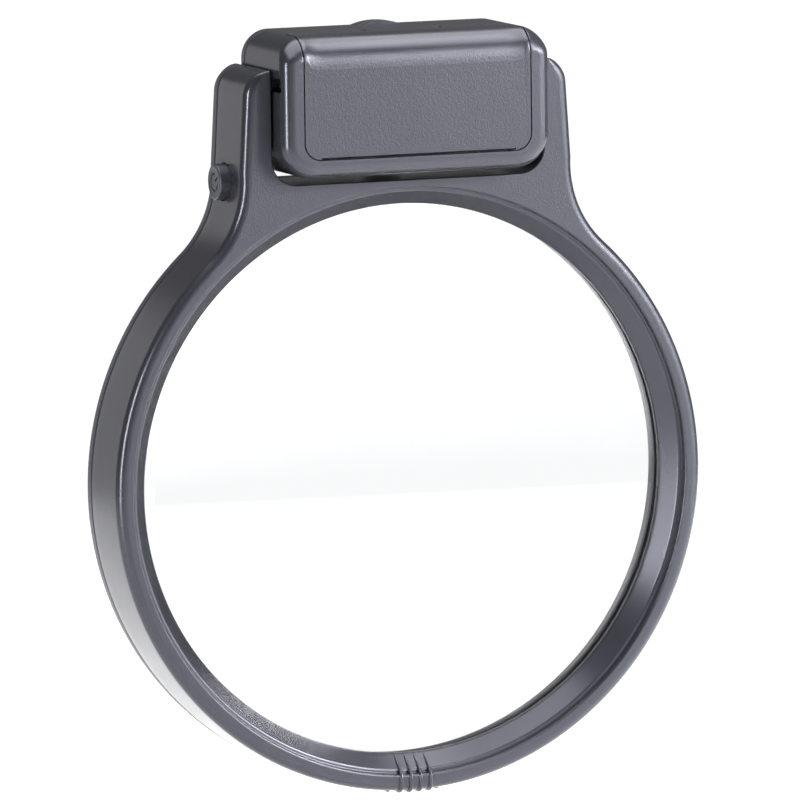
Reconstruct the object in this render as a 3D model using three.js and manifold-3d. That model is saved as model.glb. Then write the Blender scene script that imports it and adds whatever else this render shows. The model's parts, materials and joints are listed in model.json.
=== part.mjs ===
// Magnetic aquarium magnifier: a large round lens in a lit frame that swings on two
// trunnions from a magnet and battery box, which clings to the outside of the glass.
//
// Units are millimetres, +Z is up and the viewer stands on the -Y side. The origin is the
// middle of the pad on the back of the box, so the plane y = 0 is the face of the glass.

import * as THREE from 'three';
import Module from 'manifold-3d';
import { mergeVertices } from 'three/addons/utils/BufferGeometryUtils.js';

const wasm = await Module();
wasm.setup();

// ---- driving dimensions ----

// Depths, measured along Y from the glass.
const PAD_DEPTH = 0.6;
const BACK_FACE = -PAD_DEPTH;
const SEAM = -4.2;
const SEAM_GAP = 0.3;
const FRAME_FRONT = -22.4;
const BOX_FRONT = -28.8;
const BOSS_FACE = -0.2;

// Lens frame, with heights measured from the lens axis.
const LENS_AXIS_Z = -87.5;
const RING_R = 71.8;
const NECK_FILLET_R = 25;
const NECK_FILLET_X = 65.6;
const EAR_FLARE = THREE.MathUtils.degToRad(3.4);
const EAR_INNER_X = 33.3;
const EAR_CORNER_X = 33.4;
const EAR_CORNER_R = 6.2;
const EAR_TOP = 96;
const CRADLE_FLOOR = 69.6;
const CRADLE_CORNER_R = 6;
const FRAME_WALL = 2.2;
const EDGE_ROUND = 2.2;
const COVER_ROUND = 1.6;
const COVER_PLATE = 1.8;

// Lens and its seat.
const APERTURE_R = 63.5;
const LENS_R = 65.1;
const SEAT_R = 65.4;
const SEAT_WALL_R = 67;
const FUNNEL_TOP_R = 66.8;
const FUNNEL_TOP = -20.9;
const LIP_FRONT = -17;
const LIP_BACK = -16;
const LENS_FLANGE_R = 63.6;
const LENS_FRONT = -15.3;
const LENS_BACK = -12.3;
const LENS_SAG = 4.9;
const RETAINER_BACK = -10.2;
const COLLAR_R = 63.8;
const FLARE_START = -7;
const FLARE_R = 68.2;

// Magnet and battery box.
const BOX_HALF_W = 32.8;
const BOX_HALF_H = 16.25;
const BOX_TOP_CORNER = 6.5;
const BOX_LOW_CORNER = 8;
const BOX_TOP_ROUND = 7.5;
const BOX_LOW_ROUND = 3.8;
const BOX_SIDE_ROUND = 3;
const BOX_WALL = 2.6;
const BOSS_R = 17.1;
const PAD_R = 15.5;
const PAD_THICK = 0.8;
const MAGNET_R = 14.5;
const MAGNET_DEPTH = 8;

// Battery door.
const DOOR_HALF_W = 27.6;
const DOOR_LOW = -11.7;
const DOOR_REAR = -17.4;
const DOOR_CORNER = 3.8;
const DOOR_THICK = 1.4;
const DOOR_GAP = 0.3;
const DOOR_LEDGE = 1.3;
const DOOR_BEAD_R = 0.9;
const DOOR_HOOK_X = 18;
const DOOR_HOOK_HALF_W = 2;
const NOTCH_X = 9.4;
const NOTCH_HALF_W = 1.2;
const NOTCH_DEPTH = 0.7;

// Hinge between the box and the frame.
const PIVOT_Y = -18;
const PIVOT_Z = 5.25;
const TRUNNION_R = 2.4;
const TRUNNION_END = 28;
const TRUNNION_BORE = 1.3;
const BUSH_R = 3.1;

// Cells and contacts.
const CELL_R = 5.2;
const CELL_LENGTH = 44.5;
const CELL_Y = -20;
const CELL_Z = 5.6;
const TRAY_HALF_W = 26.2;

// Power button on the left ear.
const BUTTON_Y = -10.6;
const BUTTON_Z = 70;
const BUTTON_R = 4.2;
const BUTTON_OUT = -43.2;
const BUTTON_IN = -37.55;

// Grip ribs under the ring.
const RIB_COUNT = 6;
const RIB_PITCH = 2.4;
const RIB_WIDTH = 1;
const RIB_PROUD = 0.55;

const RING_STEPS = 64;
const SMALL_STEPS = 16;

// ---- materials ----

const plastic = (color, roughness) => new THREE.MeshStandardMaterial({ color, roughness, metalness: 0 });
const metal = (color, roughness) => new THREE.MeshStandardMaterial({ color, roughness, metalness: 1 });

const blackShell = plastic(0x34353b, 0.45);
const blackInner = plastic(0x26272b, 0.6);
const rubber = plastic(0x2c2d31, 0.8);
const clearLens = new THREE.MeshStandardMaterial({
  color: 0xf2f6f6, roughness: 0.03, metalness: 0, transparent: true, opacity: 0.25,
});
const diffuser = plastic(0xe8ecec, 0.35);
const ledYellow = plastic(0xf0dc7a, 0.3);
const boardGreen = plastic(0x1f5b3c, 0.5);
const steel = metal(0xb9bcc0, 0.3);
const nickel = metal(0xcfd0cc, 0.2);
const magnetPlate = metal(0xc4c6c9, 0.25);
const cellJacket = plastic(0x6f7b86, 0.35);
const leadRed = plastic(0xa02a26, 0.5);

// ---- outlines ----

// Draws an outline point by point; an arc gets points in proportion to its angle.
class Pen {
  constructor() {
    this.points = [];
  }

  to(x, y) {
    const last = this.points[this.points.length - 1];
    if (!last || Math.hypot(last.x - x, last.y - y) > 0.01) {
      this.points.push(new THREE.Vector2(x, y));
    }
    return this;
  }

  arc(x, y, radius, from, to, perTurn = 32) {
    const steps = Math.max(2, Math.ceil((Math.abs(to - from) / (2 * Math.PI)) * perTurn));
    for (let index = 0; index <= steps; index += 1) {
      const angle = from + ((to - from) * index) / steps;
      this.to(x + radius * Math.cos(angle), y + radius * Math.sin(angle));
    }
    return this;
  }

  shape() {
    const [first] = this.points;
    const last = this.points[this.points.length - 1];
    if (Math.hypot(first.x - last.x, first.y - last.y) <= 0.01) {
      this.points.pop();
    }
    return new THREE.Shape(this.points);
  }
}

function roundedRect(x0, x1, y0, y1, low, high) {
  return new Pen()
    .arc(x1 - low, y0 + low, low, -Math.PI / 2, 0)
    .arc(x1 - high, y1 - high, high, 0, Math.PI / 2)
    .arc(x0 + high, y1 - high, high, Math.PI / 2, Math.PI)
    .arc(x0 + low, y0 + low, low, Math.PI, 1.5 * Math.PI)
    .shape();
}

// ---- solids ----

// Turns a closed geometry into a solid that can be joined and cut.
function solid(geometry) {
  const bare = geometry.clone();
  bare.deleteAttribute('normal');
  bare.deleteAttribute('uv');
  const merged = mergeVertices(bare, 1e-5);
  return new wasm.Manifold(new wasm.Mesh({
    numProp: 3,
    vertProperties: Float32Array.from(merged.attributes.position.array),
    triVerts: Uint32Array.from(merged.index.array),
  }));
}

// Turns a solid back into a geometry.
function geometryOf(body) {
  const mesh = body.getMesh();
  const geometry = new THREE.BufferGeometry();
  geometry.setAttribute('position', new THREE.BufferAttribute(mesh.vertProperties, 3));
  geometry.setIndex(new THREE.BufferAttribute(mesh.triVerts, 1));
  geometry.computeVertexNormals();
  return geometry;
}

const join = (first, ...rest) => rest.reduce((body, other) => body.add(other), first);
const cut = (first, ...rest) => rest.reduce((body, other) => body.subtract(other), first);

// A front-view outline (x, z) carried from one depth to another. Rounded ends grow outward
// from it, so such an outline is drawn inward by the rounding first.
function slab(shape, from, to, round = 0) {
  const near = Math.max(from, to);
  const far = Math.min(from, to);
  const geometry = new THREE.ExtrudeGeometry(shape, {
    depth: near - far - 2 * round,
    bevelEnabled: round > 0,
    bevelThickness: round,
    bevelSize: round,
    bevelSegments: 2,
  });
  geometry.rotateX(Math.PI / 2);
  geometry.translate(0, near - round, 0);
  return solid(geometry);
}

// A side-view outline (y, z) carried from one x to another.
function sideSlab(shape, left, right) {
  const geometry = new THREE.ExtrudeGeometry(shape, { depth: right - left, bevelEnabled: false });
  const turn = new THREE.Matrix4().makeBasis(
    new THREE.Vector3(0, 1, 0), new THREE.Vector3(0, 0, 1), new THREE.Vector3(1, 0, 0),
  );
  geometry.applyMatrix4(turn);
  geometry.translate(left, 0, 0);
  return solid(geometry);
}

// A top-view outline (x, y) carried from one height to another.
function topSlab(shape, low, high) {
  const geometry = new THREE.ExtrudeGeometry(shape, { depth: high - low, bevelEnabled: false });
  geometry.translate(0, 0, low);
  return solid(geometry);
}

function block(x0, x1, y0, y1, z0, z1) {
  const geometry = new THREE.BoxGeometry(Math.abs(x1 - x0), Math.abs(y1 - y0), Math.abs(z1 - z0));
  geometry.translate((x0 + x1) / 2, (y0 + y1) / 2, (z0 + z1) / 2);
  return solid(geometry);
}

// A solid of revolution about the Y axis from [radius, y] points that close on themselves.
function turned(points, steps = RING_STEPS) {
  const outline = points.map(([radius, y]) => new THREE.Vector2(radius, y));
  outline.push(outline[0].clone());
  const body = solid(new THREE.LatheGeometry(outline, steps));
  return body.volume() < 0 ? solid(new THREE.LatheGeometry(outline.reverse(), steps)) : body;
}

// A solid of revolution about the Y axis whose [radius, y] points start and end on it.
function spun(points, steps = RING_STEPS) {
  return turned([[0, points[0][1]], ...points, [0, points[points.length - 1][1]]], steps);
}

// A straight round bar along Y, or along X.
function barY(radius, y0, y1, x, z, steps = SMALL_STEPS) {
  const geometry = new THREE.CylinderGeometry(radius, radius, Math.abs(y1 - y0), steps);
  geometry.translate(x, (y0 + y1) / 2, z);
  return solid(geometry);
}

function barX(radius, x0, x1, y, z, steps = SMALL_STEPS) {
  const geometry = new THREE.CylinderGeometry(radius, radius, Math.abs(x1 - x0), steps);
  geometry.rotateZ(Math.PI / 2);
  geometry.translate((x0 + x1) / 2, y, z);
  return solid(geometry);
}

// ---- lens frame: shells ----

// The outline shared by the front shell and the rear cover: the ring, the neck fillets and
// the two ears, drawn inward by the given amount.
function frameOutline(inset = 0) {
  const ringR = RING_R - inset;
  const filletR = NECK_FILLET_R + inset;
  const filletZ = Math.sqrt((RING_R + NECK_FILLET_R) ** 2 - NECK_FILLET_X ** 2);
  const meet = Math.atan2(filletZ, NECK_FILLET_X);
  const earR = EAR_CORNER_R - inset;
  const earZ = EAR_TOP - EAR_CORNER_R;
  const floor = CRADLE_FLOOR - inset;
  const inner = EAR_INNER_X + inset;
  const cornerR = CRADLE_CORNER_R + inset;
  const bend = Math.acos((inner - EAR_CORNER_X) / earR);
  return new Pen()
    .arc(0, 0, ringR, -Math.PI / 2, meet, RING_STEPS)
    .arc(NECK_FILLET_X, filletZ, filletR, meet + Math.PI, Math.PI - EAR_FLARE, 48)
    .arc(EAR_CORNER_X, earZ, earR, EAR_FLARE, bend)
    .arc(inner - cornerR, floor + cornerR, cornerR, 0, -Math.PI / 2)
    .arc(-inner + cornerR, floor + cornerR, cornerR, -Math.PI / 2, -Math.PI)
    .arc(-EAR_CORNER_X, earZ, earR, Math.PI - bend, Math.PI - EAR_FLARE)
    .arc(-NECK_FILLET_X, filletZ, filletR, EAR_FLARE, -meet, 48)
    .arc(0, 0, ringR, Math.PI - meet, 1.5 * Math.PI, RING_STEPS)
    .shape();
}

// The rear cover is screwed on in the neck and the ears, and snapped on round the ring.
const NECK_SCREWS = [[-21.5, 66.4], [21.5, 66.4]];
const EAR_SCREWS = [[-36.5, 84], [36.5, 84]];
const coverScrews = [...NECK_SCREWS, ...EAR_SCREWS];
const SNAP_ANGLES = [-90, -36, -144, 18, 162];
const SNAP_R = 68.3;
const SNAP_BARB = 0.8;
const SNAP_END = -8;
const SNAP_HALF_W = 3;
const WALL_INNER_R = RING_R - FRAME_WALL;

// The hooks on the rear cover, as short stretches of one ring-shaped profile.
function snapTabs() {
  const profile = turned([
    [SNAP_R, BACK_FACE - 1], [SNAP_R + 0.9, BACK_FACE - 1], [SNAP_R + 0.9, SNAP_END + 1.6],
    [WALL_INNER_R + SNAP_BARB / 2, SNAP_END + 1], [SNAP_R + 0.9, SNAP_END], [SNAP_R, SNAP_END],
  ]);
  return SNAP_ANGLES.map((degrees) => {
    const wedge = slab(new Pen()
      .to(RING_R - 6, -SNAP_HALF_W)
      .to(RING_R + 2, -SNAP_HALF_W)
      .to(RING_R + 2, SNAP_HALF_W)
      .to(RING_R - 6, SNAP_HALF_W)
      .shape(), 0, SNAP_END - 2);
    return wedge.rotate([0, -degrees, 0]).intersect(profile);
  });
}

// The groove inside the front shell that the hooks catch in.
function snapGroove() {
  return turned([
    [WALL_INNER_R - 1, SNAP_END + 2], [WALL_INNER_R, SNAP_END + 2],
    [WALL_INNER_R + SNAP_BARB, SNAP_END + 1.4], [WALL_INNER_R + SNAP_BARB, SNAP_END + 0.6],
    [WALL_INNER_R, SNAP_END - 0.2], [WALL_INNER_R - 1, SNAP_END - 0.2],
  ]);
}
const BOSS_POST_R = 2;
const BOSS_POST_END = -11;
const SCREW_HEAD_R = 1.4;
const SCREW_SHANK_R = 0.8;
const SCREW_TIP = -8.4;
const SCREW_HEAD_BACK = BACK_FACE - 0.3;
const SCREW_HEAD_FRONT = SCREW_HEAD_BACK - 1.1;

// One rib of the grip: a thin wall in side view that follows the ring's section.
function gripRib(x, long) {
  const low = -Math.sqrt(RING_R ** 2 - x ** 2) - RIB_PROUD;
  const back = SEAM - SEAM_GAP;
  const pen = new Pen()
    .to(back - 0.2, low + RIB_PROUD + 0.6)
    .to(back - 0.2, low + RIB_PROUD - 0.1)
    .to(back - 1, low);
  if (long) {
    const round = EDGE_ROUND + RIB_PROUD;
    pen.arc(FRAME_FRONT + EDGE_ROUND, low + round, round, -Math.PI / 2, -Math.PI)
      .to(FRAME_FRONT - RIB_PROUD, -RING_R + 3.7)
      .to(FUNNEL_TOP - 0.1, -FUNNEL_TOP_R + 0.9)
      .to(LIP_FRONT - 1, -APERTURE_R - 0.8)
      .to(LIP_FRONT - 1, -APERTURE_R - 1.6)
      .to(FRAME_FRONT + 1.8, -FUNNEL_TOP_R - 1.4);
  } else {
    pen.to(FRAME_FRONT + 3.6, low)
      .to(FRAME_FRONT + 2.4, low + RIB_PROUD + 0.2);
  }
  pen.to(FRAME_FRONT + 2.6, low + RIB_PROUD + 0.6);
  return sideSlab(pen.shape(), x - RIB_WIDTH / 2, x + RIB_WIDTH / 2);
}

function frontFrame() {
  const back = SEAM - SEAM_GAP;
  // The rounded outline is cut off square where it meets the rear cover.
  let body = slab(frameOutline(EDGE_ROUND), back + EDGE_ROUND + 0.5, FRAME_FRONT, EDGE_ROUND);
  body = cut(body, block(-90, 90, back, back + 10, -90, 110));
  const hollow = slab(frameOutline(FRAME_WALL), back + 1, FRAME_FRONT + FRAME_WALL);
  body = cut(body, hollow);
  const seatWall = turned([
    [SEAT_R - 3, -10], [SEAT_WALL_R, -10], [SEAT_WALL_R, FRAME_FRONT + 3.6],
    [RING_R - 3, FRAME_FRONT + 1], [SEAT_R - 3, FRAME_FRONT + 1],
  ]);
  const bosses = coverScrews.map(([x, z]) => barY(BOSS_POST_R, back, BOSS_POST_END, x, z, 12));
  const posts = NECK_SCREWS.map(([x, z]) => barY(BOSS_POST_R, back - 1, FRAME_FRONT + 1, x, z, 12));
  body = join(body, seatWall, ...bosses, ...posts);
  const opening = spun([
    [SEAT_R, 1], [SEAT_R, LIP_BACK], [APERTURE_R, LIP_BACK], [APERTURE_R, LIP_FRONT],
    [FUNNEL_TOP_R, FUNNEL_TOP], [FUNNEL_TOP_R + 0.5, FUNNEL_TOP - 0.5],
    [FUNNEL_TOP_R + 1.1, FRAME_FRONT - 0.02], [FUNNEL_TOP_R + 1.1, FRAME_FRONT - 3],
  ]);
  body = cut(body, opening);
  for (let index = 0; index < RIB_COUNT; index += 1) {
    const inner = index > 0 && index < RIB_COUNT - 1;
    body = join(body, gripRib((index - (RIB_COUNT - 1) / 2) * RIB_PITCH, inner));
  }
  for (const side of [-1, 1]) {
    const pivotZ = PIVOT_Z - LENS_AXIS_Z;
    const root = side * (EAR_INNER_X + 1);
    const end = side * TRUNNION_END;
    body = join(body, barX(TRUNNION_R, root, end, PIVOT_Y, pivotZ));
    body = cut(body, barX(TRUNNION_BORE, root + side * 2, end - side, PIVOT_Y, pivotZ, 12));
    body = cut(body, clipGroove(side, pivotZ));
  }
  body = cut(body, barX(BUTTON_R + 0.25, -48, -36, BUTTON_Y, BUTTON_Z, 24));
  const pilots = coverScrews.map(([x, z]) => barY(SCREW_SHANK_R + 0.2, back + 1, -9.4, x, z, 8));
  return cut(body, snapGroove(), ...pilots);
}

// The groove near the end of a trunnion that holds its clip.
const CLIP_OUTER = 29.1;
const CLIP_INNER = 28.5;
const CLIP_SEAT_R = 2.1;
const CLIP_R = 4;
const WASHER_OUTER = 29.45;
const WASHER_INNER = 29.2;
const WASHER_R = 4.4;

function clipGroove(side, z) {
  const ring = barX(TRUNNION_R + 1, side * (CLIP_OUTER + 0.1), side * (CLIP_INNER - 0.1), PIVOT_Y, z);
  const core = barX(CLIP_SEAT_R, side * (CLIP_OUTER + 1), side * (CLIP_INNER - 1), PIVOT_Y, z);
  return ring.subtract(core);
}

// The window in the rear cover in front of a row of lamps, as an arc beside the lens.
const LAMP_ARC_R = 69.8;
const LAMP_ANGLES = [57.5, 62, 66.5];
const WINDOW_HALF_W = 1.9;
const WINDOW_SPAN = 6;

function windowShape(side, grow) {
  const half = WINDOW_HALF_W + grow;
  const middle = side < 0 ? 180 - LAMP_ANGLES[1] : LAMP_ANGLES[1];
  const from = THREE.MathUtils.degToRad(middle - WINDOW_SPAN);
  const to = THREE.MathUtils.degToRad(middle + WINDOW_SPAN);
  return new Pen()
    .arc(0, 0, LAMP_ARC_R + half, from, to, RING_STEPS)
    .arc(LAMP_ARC_R * Math.cos(to), LAMP_ARC_R * Math.sin(to), half, to, to + Math.PI, 16)
    .arc(0, 0, LAMP_ARC_R - half, to, from, RING_STEPS)
    .arc(LAMP_ARC_R * Math.cos(from), LAMP_ARC_R * Math.sin(from), half, from + Math.PI,
      from + 2 * Math.PI, 16)
    .shape();
}

function rearCover() {
  let body = slab(frameOutline(COVER_ROUND), BACK_FACE, SEAM - COVER_ROUND - 0.5, COVER_ROUND);
  body = cut(body, block(-90, 90, SEAM, SEAM - 10, -90, 110));
  body = cut(body, slab(frameOutline(FRAME_WALL), BACK_FACE - COVER_PLATE, SEAM - 1));
  const collar = turned([
    [COLLAR_R - 2, BACK_FACE - 0.5], [COLLAR_R + 4.9, BACK_FACE - 0.5],
    [COLLAR_R + 3.1, BACK_FACE - 1.7], [COLLAR_R + 2.2, SEAM + 0.6],
    [COLLAR_R + 1.5, FLARE_START + 0.4], [COLLAR_R + 1.5, RETAINER_BACK + 0.2],
    [COLLAR_R - 2, RETAINER_BACK + 0.2],
  ]);
  body = join(body, collar, ...snapTabs());
  const flare = [[COLLAR_R, FLARE_START - 6], [COLLAR_R, FLARE_START]];
  const flareSteps = 4;
  for (let index = 1; index <= flareSteps; index += 1) {
    const angle = (Math.PI / 2) * (index / flareSteps);
    flare.push([
      COLLAR_R + (FLARE_R - COLLAR_R) * (1 - Math.cos(angle)),
      FLARE_START + (BACK_FACE - FLARE_START) * Math.sin(angle),
    ]);
  }
  flare.push([FLARE_R, 3]);
  body = cut(body, spun(flare));
  for (const [x, z] of coverScrews) {
    body = cut(body, barY(SCREW_HEAD_R + 0.2, 1, SCREW_HEAD_FRONT - 0.1, x, z, 12));
    body = cut(body, barY(SCREW_SHANK_R + 0.25, 1, SEAM - 1, x, z, 8));
  }
  for (const side of [-1, 1]) {
    body = cut(body, slab(windowShape(side, 0.15), 1, SEAM - 1));
  }
  return body;
}

// ---- lens frame: optics ----

function lensBody() {
  const steps = 5;
  const front = [];
  const back = [];
  for (let index = 0; index <= steps; index += 1) {
    const radius = (LENS_FLANGE_R * index) / steps;
    const drop = LENS_SAG * (1 - (radius / LENS_FLANGE_R) ** 2);
    front.push([radius, LENS_FRONT - drop]);
    back.push([radius, LENS_BACK + drop]);
  }
  const rim = [[LENS_R, LENS_FRONT], [LENS_R, LENS_BACK]];
  return turned([...front, ...rim, ...back.reverse()]);
}

const flatRing = (inner, outer, y0, y1, steps = RING_STEPS) => (
  turned([[inner, y0], [outer, y0], [outer, y1], [inner, y1]], steps)
);

// ---- lens frame: lamp and switch ----

const BOARD_BACK = -6.2;
const BOARD_THICK = 1;
const LAMP_DEPTH = 1.6;
const LAMP_HALF_W = 1.4;
const LAMP_FACE_R = 1.1;

function lampBoard(side) {
  const shape = windowShape(side, 0.5);
  return slab(shape, BOARD_BACK, BOARD_BACK - BOARD_THICK);
}

function lamp(side, degrees) {
  const angle = THREE.MathUtils.degToRad(side < 0 ? 180 - degrees : degrees);
  const x = LAMP_ARC_R * Math.cos(angle);
  const z = LAMP_ARC_R * Math.sin(angle);
  const foot = BOARD_BACK + 0.1;
  const base = block(x - LAMP_HALF_W, x + LAMP_HALF_W, foot, foot + LAMP_DEPTH * 0.6,
    z - LAMP_HALF_W, z + LAMP_HALF_W);
  return base.add(barY(LAMP_FACE_R, foot + 0.1, foot + LAMP_DEPTH, x, z, 12));
}

const lampWindow = (side) => slab(windowShape(side, -0.15), BACK_FACE - 0.3, SEAM + 0.4);

const SWITCH_BOARD_X = -34.75;
const SWITCH_HALF_W = 2;
const SWITCH_FACE = SWITCH_BOARD_X - 1.55;
const SWITCH_OUT = -36.55;

function switchBody() {
  const can = block(SWITCH_BOARD_X - 0.1, SWITCH_FACE, BUTTON_Y - SWITCH_HALF_W, BUTTON_Y + SWITCH_HALF_W,
    BUTTON_Z - SWITCH_HALF_W, BUTTON_Z + SWITCH_HALF_W);
  return can.add(barX(1.2, SWITCH_FACE + 0.2, SWITCH_OUT, BUTTON_Y, BUTTON_Z, 14));
}

// The board ends just above the middle of the switch, below the corner of the cradle.
const switchBoard = () => block(SWITCH_BOARD_X, SWITCH_BOARD_X + 0.8, BUTTON_Y - 4.4, BUTTON_Y + 3,
  BUTTON_Z - 6, BUTTON_Z + 0.4);

function powerButton() {
  const cap = barX(BUTTON_R, BUTTON_OUT + 0.4, BUTTON_IN, BUTTON_Y, BUTTON_Z, 24);
  const crown = barX(BUTTON_R - 0.4, BUTTON_OUT, BUTTON_OUT + 1, BUTTON_Y, BUTTON_Z, 24);
  const flange = barX(BUTTON_R + 0.8, BUTTON_IN - 0.6, BUTTON_IN, BUTTON_Y, BUTTON_Z, 24);
  return join(cap, crown, flange);
}

// ---- fasteners ----

function coverScrew(x, z) {
  const head = barY(SCREW_HEAD_R, SCREW_HEAD_BACK, SCREW_HEAD_FRONT, x, z, 12);
  const shank = barY(SCREW_SHANK_R, SCREW_HEAD_FRONT + 0.2, SCREW_TIP, x, z, 6);
  const slotDepth = SCREW_HEAD_BACK - 0.5;
  const across = block(x - 1, x + 1, SCREW_HEAD_BACK + 1, slotDepth, z - 0.2, z + 0.2);
  const along = block(x - 0.2, x + 0.2, SCREW_HEAD_BACK + 1, slotDepth, z - 1, z + 1);
  return cut(head.add(shank), across, along);
}

// ---- magnet box: shells ----

const boxOutline = (inset) => roundedRect(
  -BOX_HALF_W + inset, BOX_HALF_W - inset, -BOX_HALF_H + inset, BOX_HALF_H - inset,
  BOX_LOW_CORNER - inset, BOX_TOP_CORNER - inset,
);

// The box as a plain rounded solid, drawn inward by the given amount.
function boxSolid(inset, back) {
  const front = BOX_FRONT + inset;
  const high = BOX_HALF_H - inset;
  const wide = BOX_HALF_W - inset;
  const topRound = BOX_TOP_ROUND - inset;
  const lowRound = Math.max(BOX_LOW_ROUND - inset, 0.6);
  const sideRound = Math.max(BOX_SIDE_ROUND - inset, 0.6);
  const side = new Pen()
    .to(back + 1, -high)
    .to(back + 1, high)
    .arc(front + topRound, high - topRound, topRound, Math.PI / 2, Math.PI, 48)
    .arc(front + lowRound, -high + lowRound, lowRound, Math.PI, 1.5 * Math.PI)
    .shape();
  const top = new Pen()
    .to(-wide, back + 1)
    .arc(-wide + sideRound, front + sideRound, sideRound, Math.PI, 1.5 * Math.PI)
    .arc(wide - sideRound, front + sideRound, sideRound, 1.5 * Math.PI, 2 * Math.PI)
    .to(wide, back + 1)
    .shape();
  return slab(boxOutline(inset), back, front)
    .intersect(sideSlab(side, -wide - 1, wide + 1))
    .intersect(topSlab(top, -high - 1, high + 1));
}

// The bead along the low edge of the battery door, which sits in a gutter in the box. The
// door tips out about its low front edge, so no part of it dips below that edge.
const BEAD_Y = BOX_FRONT + DOOR_BEAD_R;
const BEAD_Z = DOOR_LOW + DOOR_BEAD_R;

function doorBead(grow) {
  const half = DOOR_HALF_W - DOOR_CORNER + grow;
  return barX(DOOR_BEAD_R + grow, -half, half, BEAD_Y, BEAD_Z, 20);
}

// The column of space that the battery door fills, drawn outward by the given amount.
function doorZone(grow) {
  const half = DOOR_HALF_W + grow;
  const low = DOOR_LOW - grow;
  const corner = DOOR_CORNER + grow;
  const shape = new Pen()
    .arc(half - corner, low + corner, corner, -Math.PI / 2, 0)
    .to(half, BOX_HALF_H + 5)
    .to(-half, BOX_HALF_H + 5)
    .arc(-half + corner, low + corner, corner, Math.PI, 1.5 * Math.PI)
    .shape();
  return slab(shape, DOOR_REAR + grow, BOX_FRONT - 6);
}

// Depths of the pieces stacked behind the battery door, from the magnet forward.
const MAGNET_BACK = BOSS_FACE - 1.6;
const YOKE_BACK = MAGNET_BACK - MAGNET_DEPTH - 0.2;
const YOKE_THICK = 1.5;
const TRAY_BACK = YOKE_BACK - YOKE_THICK - 0.2;
const TRAY_FLOOR = 1.2;
const TRAY_HALF_H = 12;
const CONTACT_X = TRAY_HALF_W - 1.3;

const BUSH_HOLE_R = BUSH_R + 0.15;
const SLOT_LOW = 3.6;
const SLOT_HIGH = 6.9;
const SLOT_FRONT = -26.8;
const boxScrews = [[-28.4, -11.2], [28.4, -11.2], [-28.6, 11.6], [28.6, 11.6]];

// The slot that lets a trunnion into its bush, with a nib in the middle of its front end.
function trunnionSlot(side) {
  const middle = (SLOT_LOW + SLOT_HIGH) / 2;
  const lobe = (SLOT_HIGH - SLOT_LOW) / 4;
  const shape = new Pen()
    .to(PIVOT_Y, SLOT_LOW)
    .to(PIVOT_Y, SLOT_HIGH)
    .arc(SLOT_FRONT + lobe, SLOT_HIGH - lobe, lobe, Math.PI / 2, 1.35 * Math.PI, 20)
    .to(SLOT_FRONT + lobe + 0.6, middle)
    .arc(SLOT_FRONT + lobe, SLOT_LOW + lobe, lobe, 0.65 * Math.PI, 1.5 * Math.PI, 20)
    .shape();
  const outer = side * (BOX_HALF_W + 2);
  const inner = side * (BOX_HALF_W - BOX_WALL - 1);
  return sideSlab(shape, Math.min(inner, outer), Math.max(inner, outer));
}

// A shallow notch in the top of the box at the rear edge of the door, for a fingernail.
const notch = (side, front, back) => block(side * NOTCH_X - NOTCH_HALF_W, side * NOTCH_X + NOTCH_HALF_W,
  front, back, BOX_HALF_H - NOTCH_DEPTH, BOX_HALF_H + 1);

function boxHousing() {
  const back = SEAM - SEAM_GAP;
  let body = boxSolid(0, back);
  body = cut(body, boxSolid(BOX_WALL, back + 2));
  const recess = doorZone(DOOR_GAP).subtract(boxSolid(DOOR_THICK + 0.2, back));
  body = cut(body, recess, doorZone(-DOOR_LEDGE), doorBead(DOOR_GAP));
  for (const side of [-1, 1]) {
    const outer = side * (BOX_HALF_W + 1);
    const inner = side * (BOX_HALF_W - BOX_WALL - 0.6);
    body = cut(body, barX(BUSH_HOLE_R, outer, inner, PIVOT_Y, PIVOT_Z, 24), trunnionSlot(side));
    body = cut(body, notch(side, DOOR_REAR - 1, DOOR_REAR + 1.2));
  }
  const bosses = boxScrews.map(([x, z]) => barY(2.1, back, -13, x, z, 12)
    .add(block(x, x + Math.sign(x) * 3, back, -13, z - 1.2, z + 1.2))
    .intersect(boxSolid(0.5, back)));
  body = join(body, ...bosses);
  const pilots = boxScrews.map(([x, z]) => barY(SCREW_SHANK_R + 0.2, back + 1, -9.4, x, z, 8));
  const magnetRelief = barY(MAGNET_R + 0.3, back + 1, YOKE_BACK, 0, 0, 48);
  return cut(body, magnetRelief, ...pilots);
}

function backCover() {
  const low = SEAM - COVER_ROUND - 0.5;
  let body = slab(boxOutline(COVER_ROUND), BACK_FACE, low, COVER_ROUND);
  body = cut(body, block(-50, 50, SEAM, SEAM - 10, -30, 30));
  body = cut(body, slab(boxOutline(BOX_WALL), BACK_FACE - COVER_PLATE, SEAM - 1));
  const boss = spun([
    [BOSS_R - 0.8, BOSS_FACE], [BOSS_R, BOSS_FACE - 0.8], [BOSS_R, SEAM],
  ], 48);
  body = join(body, boss);
  body = cut(body, barY(PAD_R + 0.3, 1, -PAD_THICK - 0.1, 0, 0, 48));
  body = cut(body, barY(MAGNET_R + 0.3, BOSS_FACE - 1.4, SEAM - 1, 0, 0, 48));
  for (const [x, z] of boxScrews) {
    body = cut(body, barY(SCREW_HEAD_R + 0.2, 1, SCREW_HEAD_FRONT - 0.1, x, z, 12));
    body = cut(body, barY(SCREW_SHANK_R + 0.25, 1, SEAM - 1, x, z, 8));
  }
  return body;
}

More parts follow.
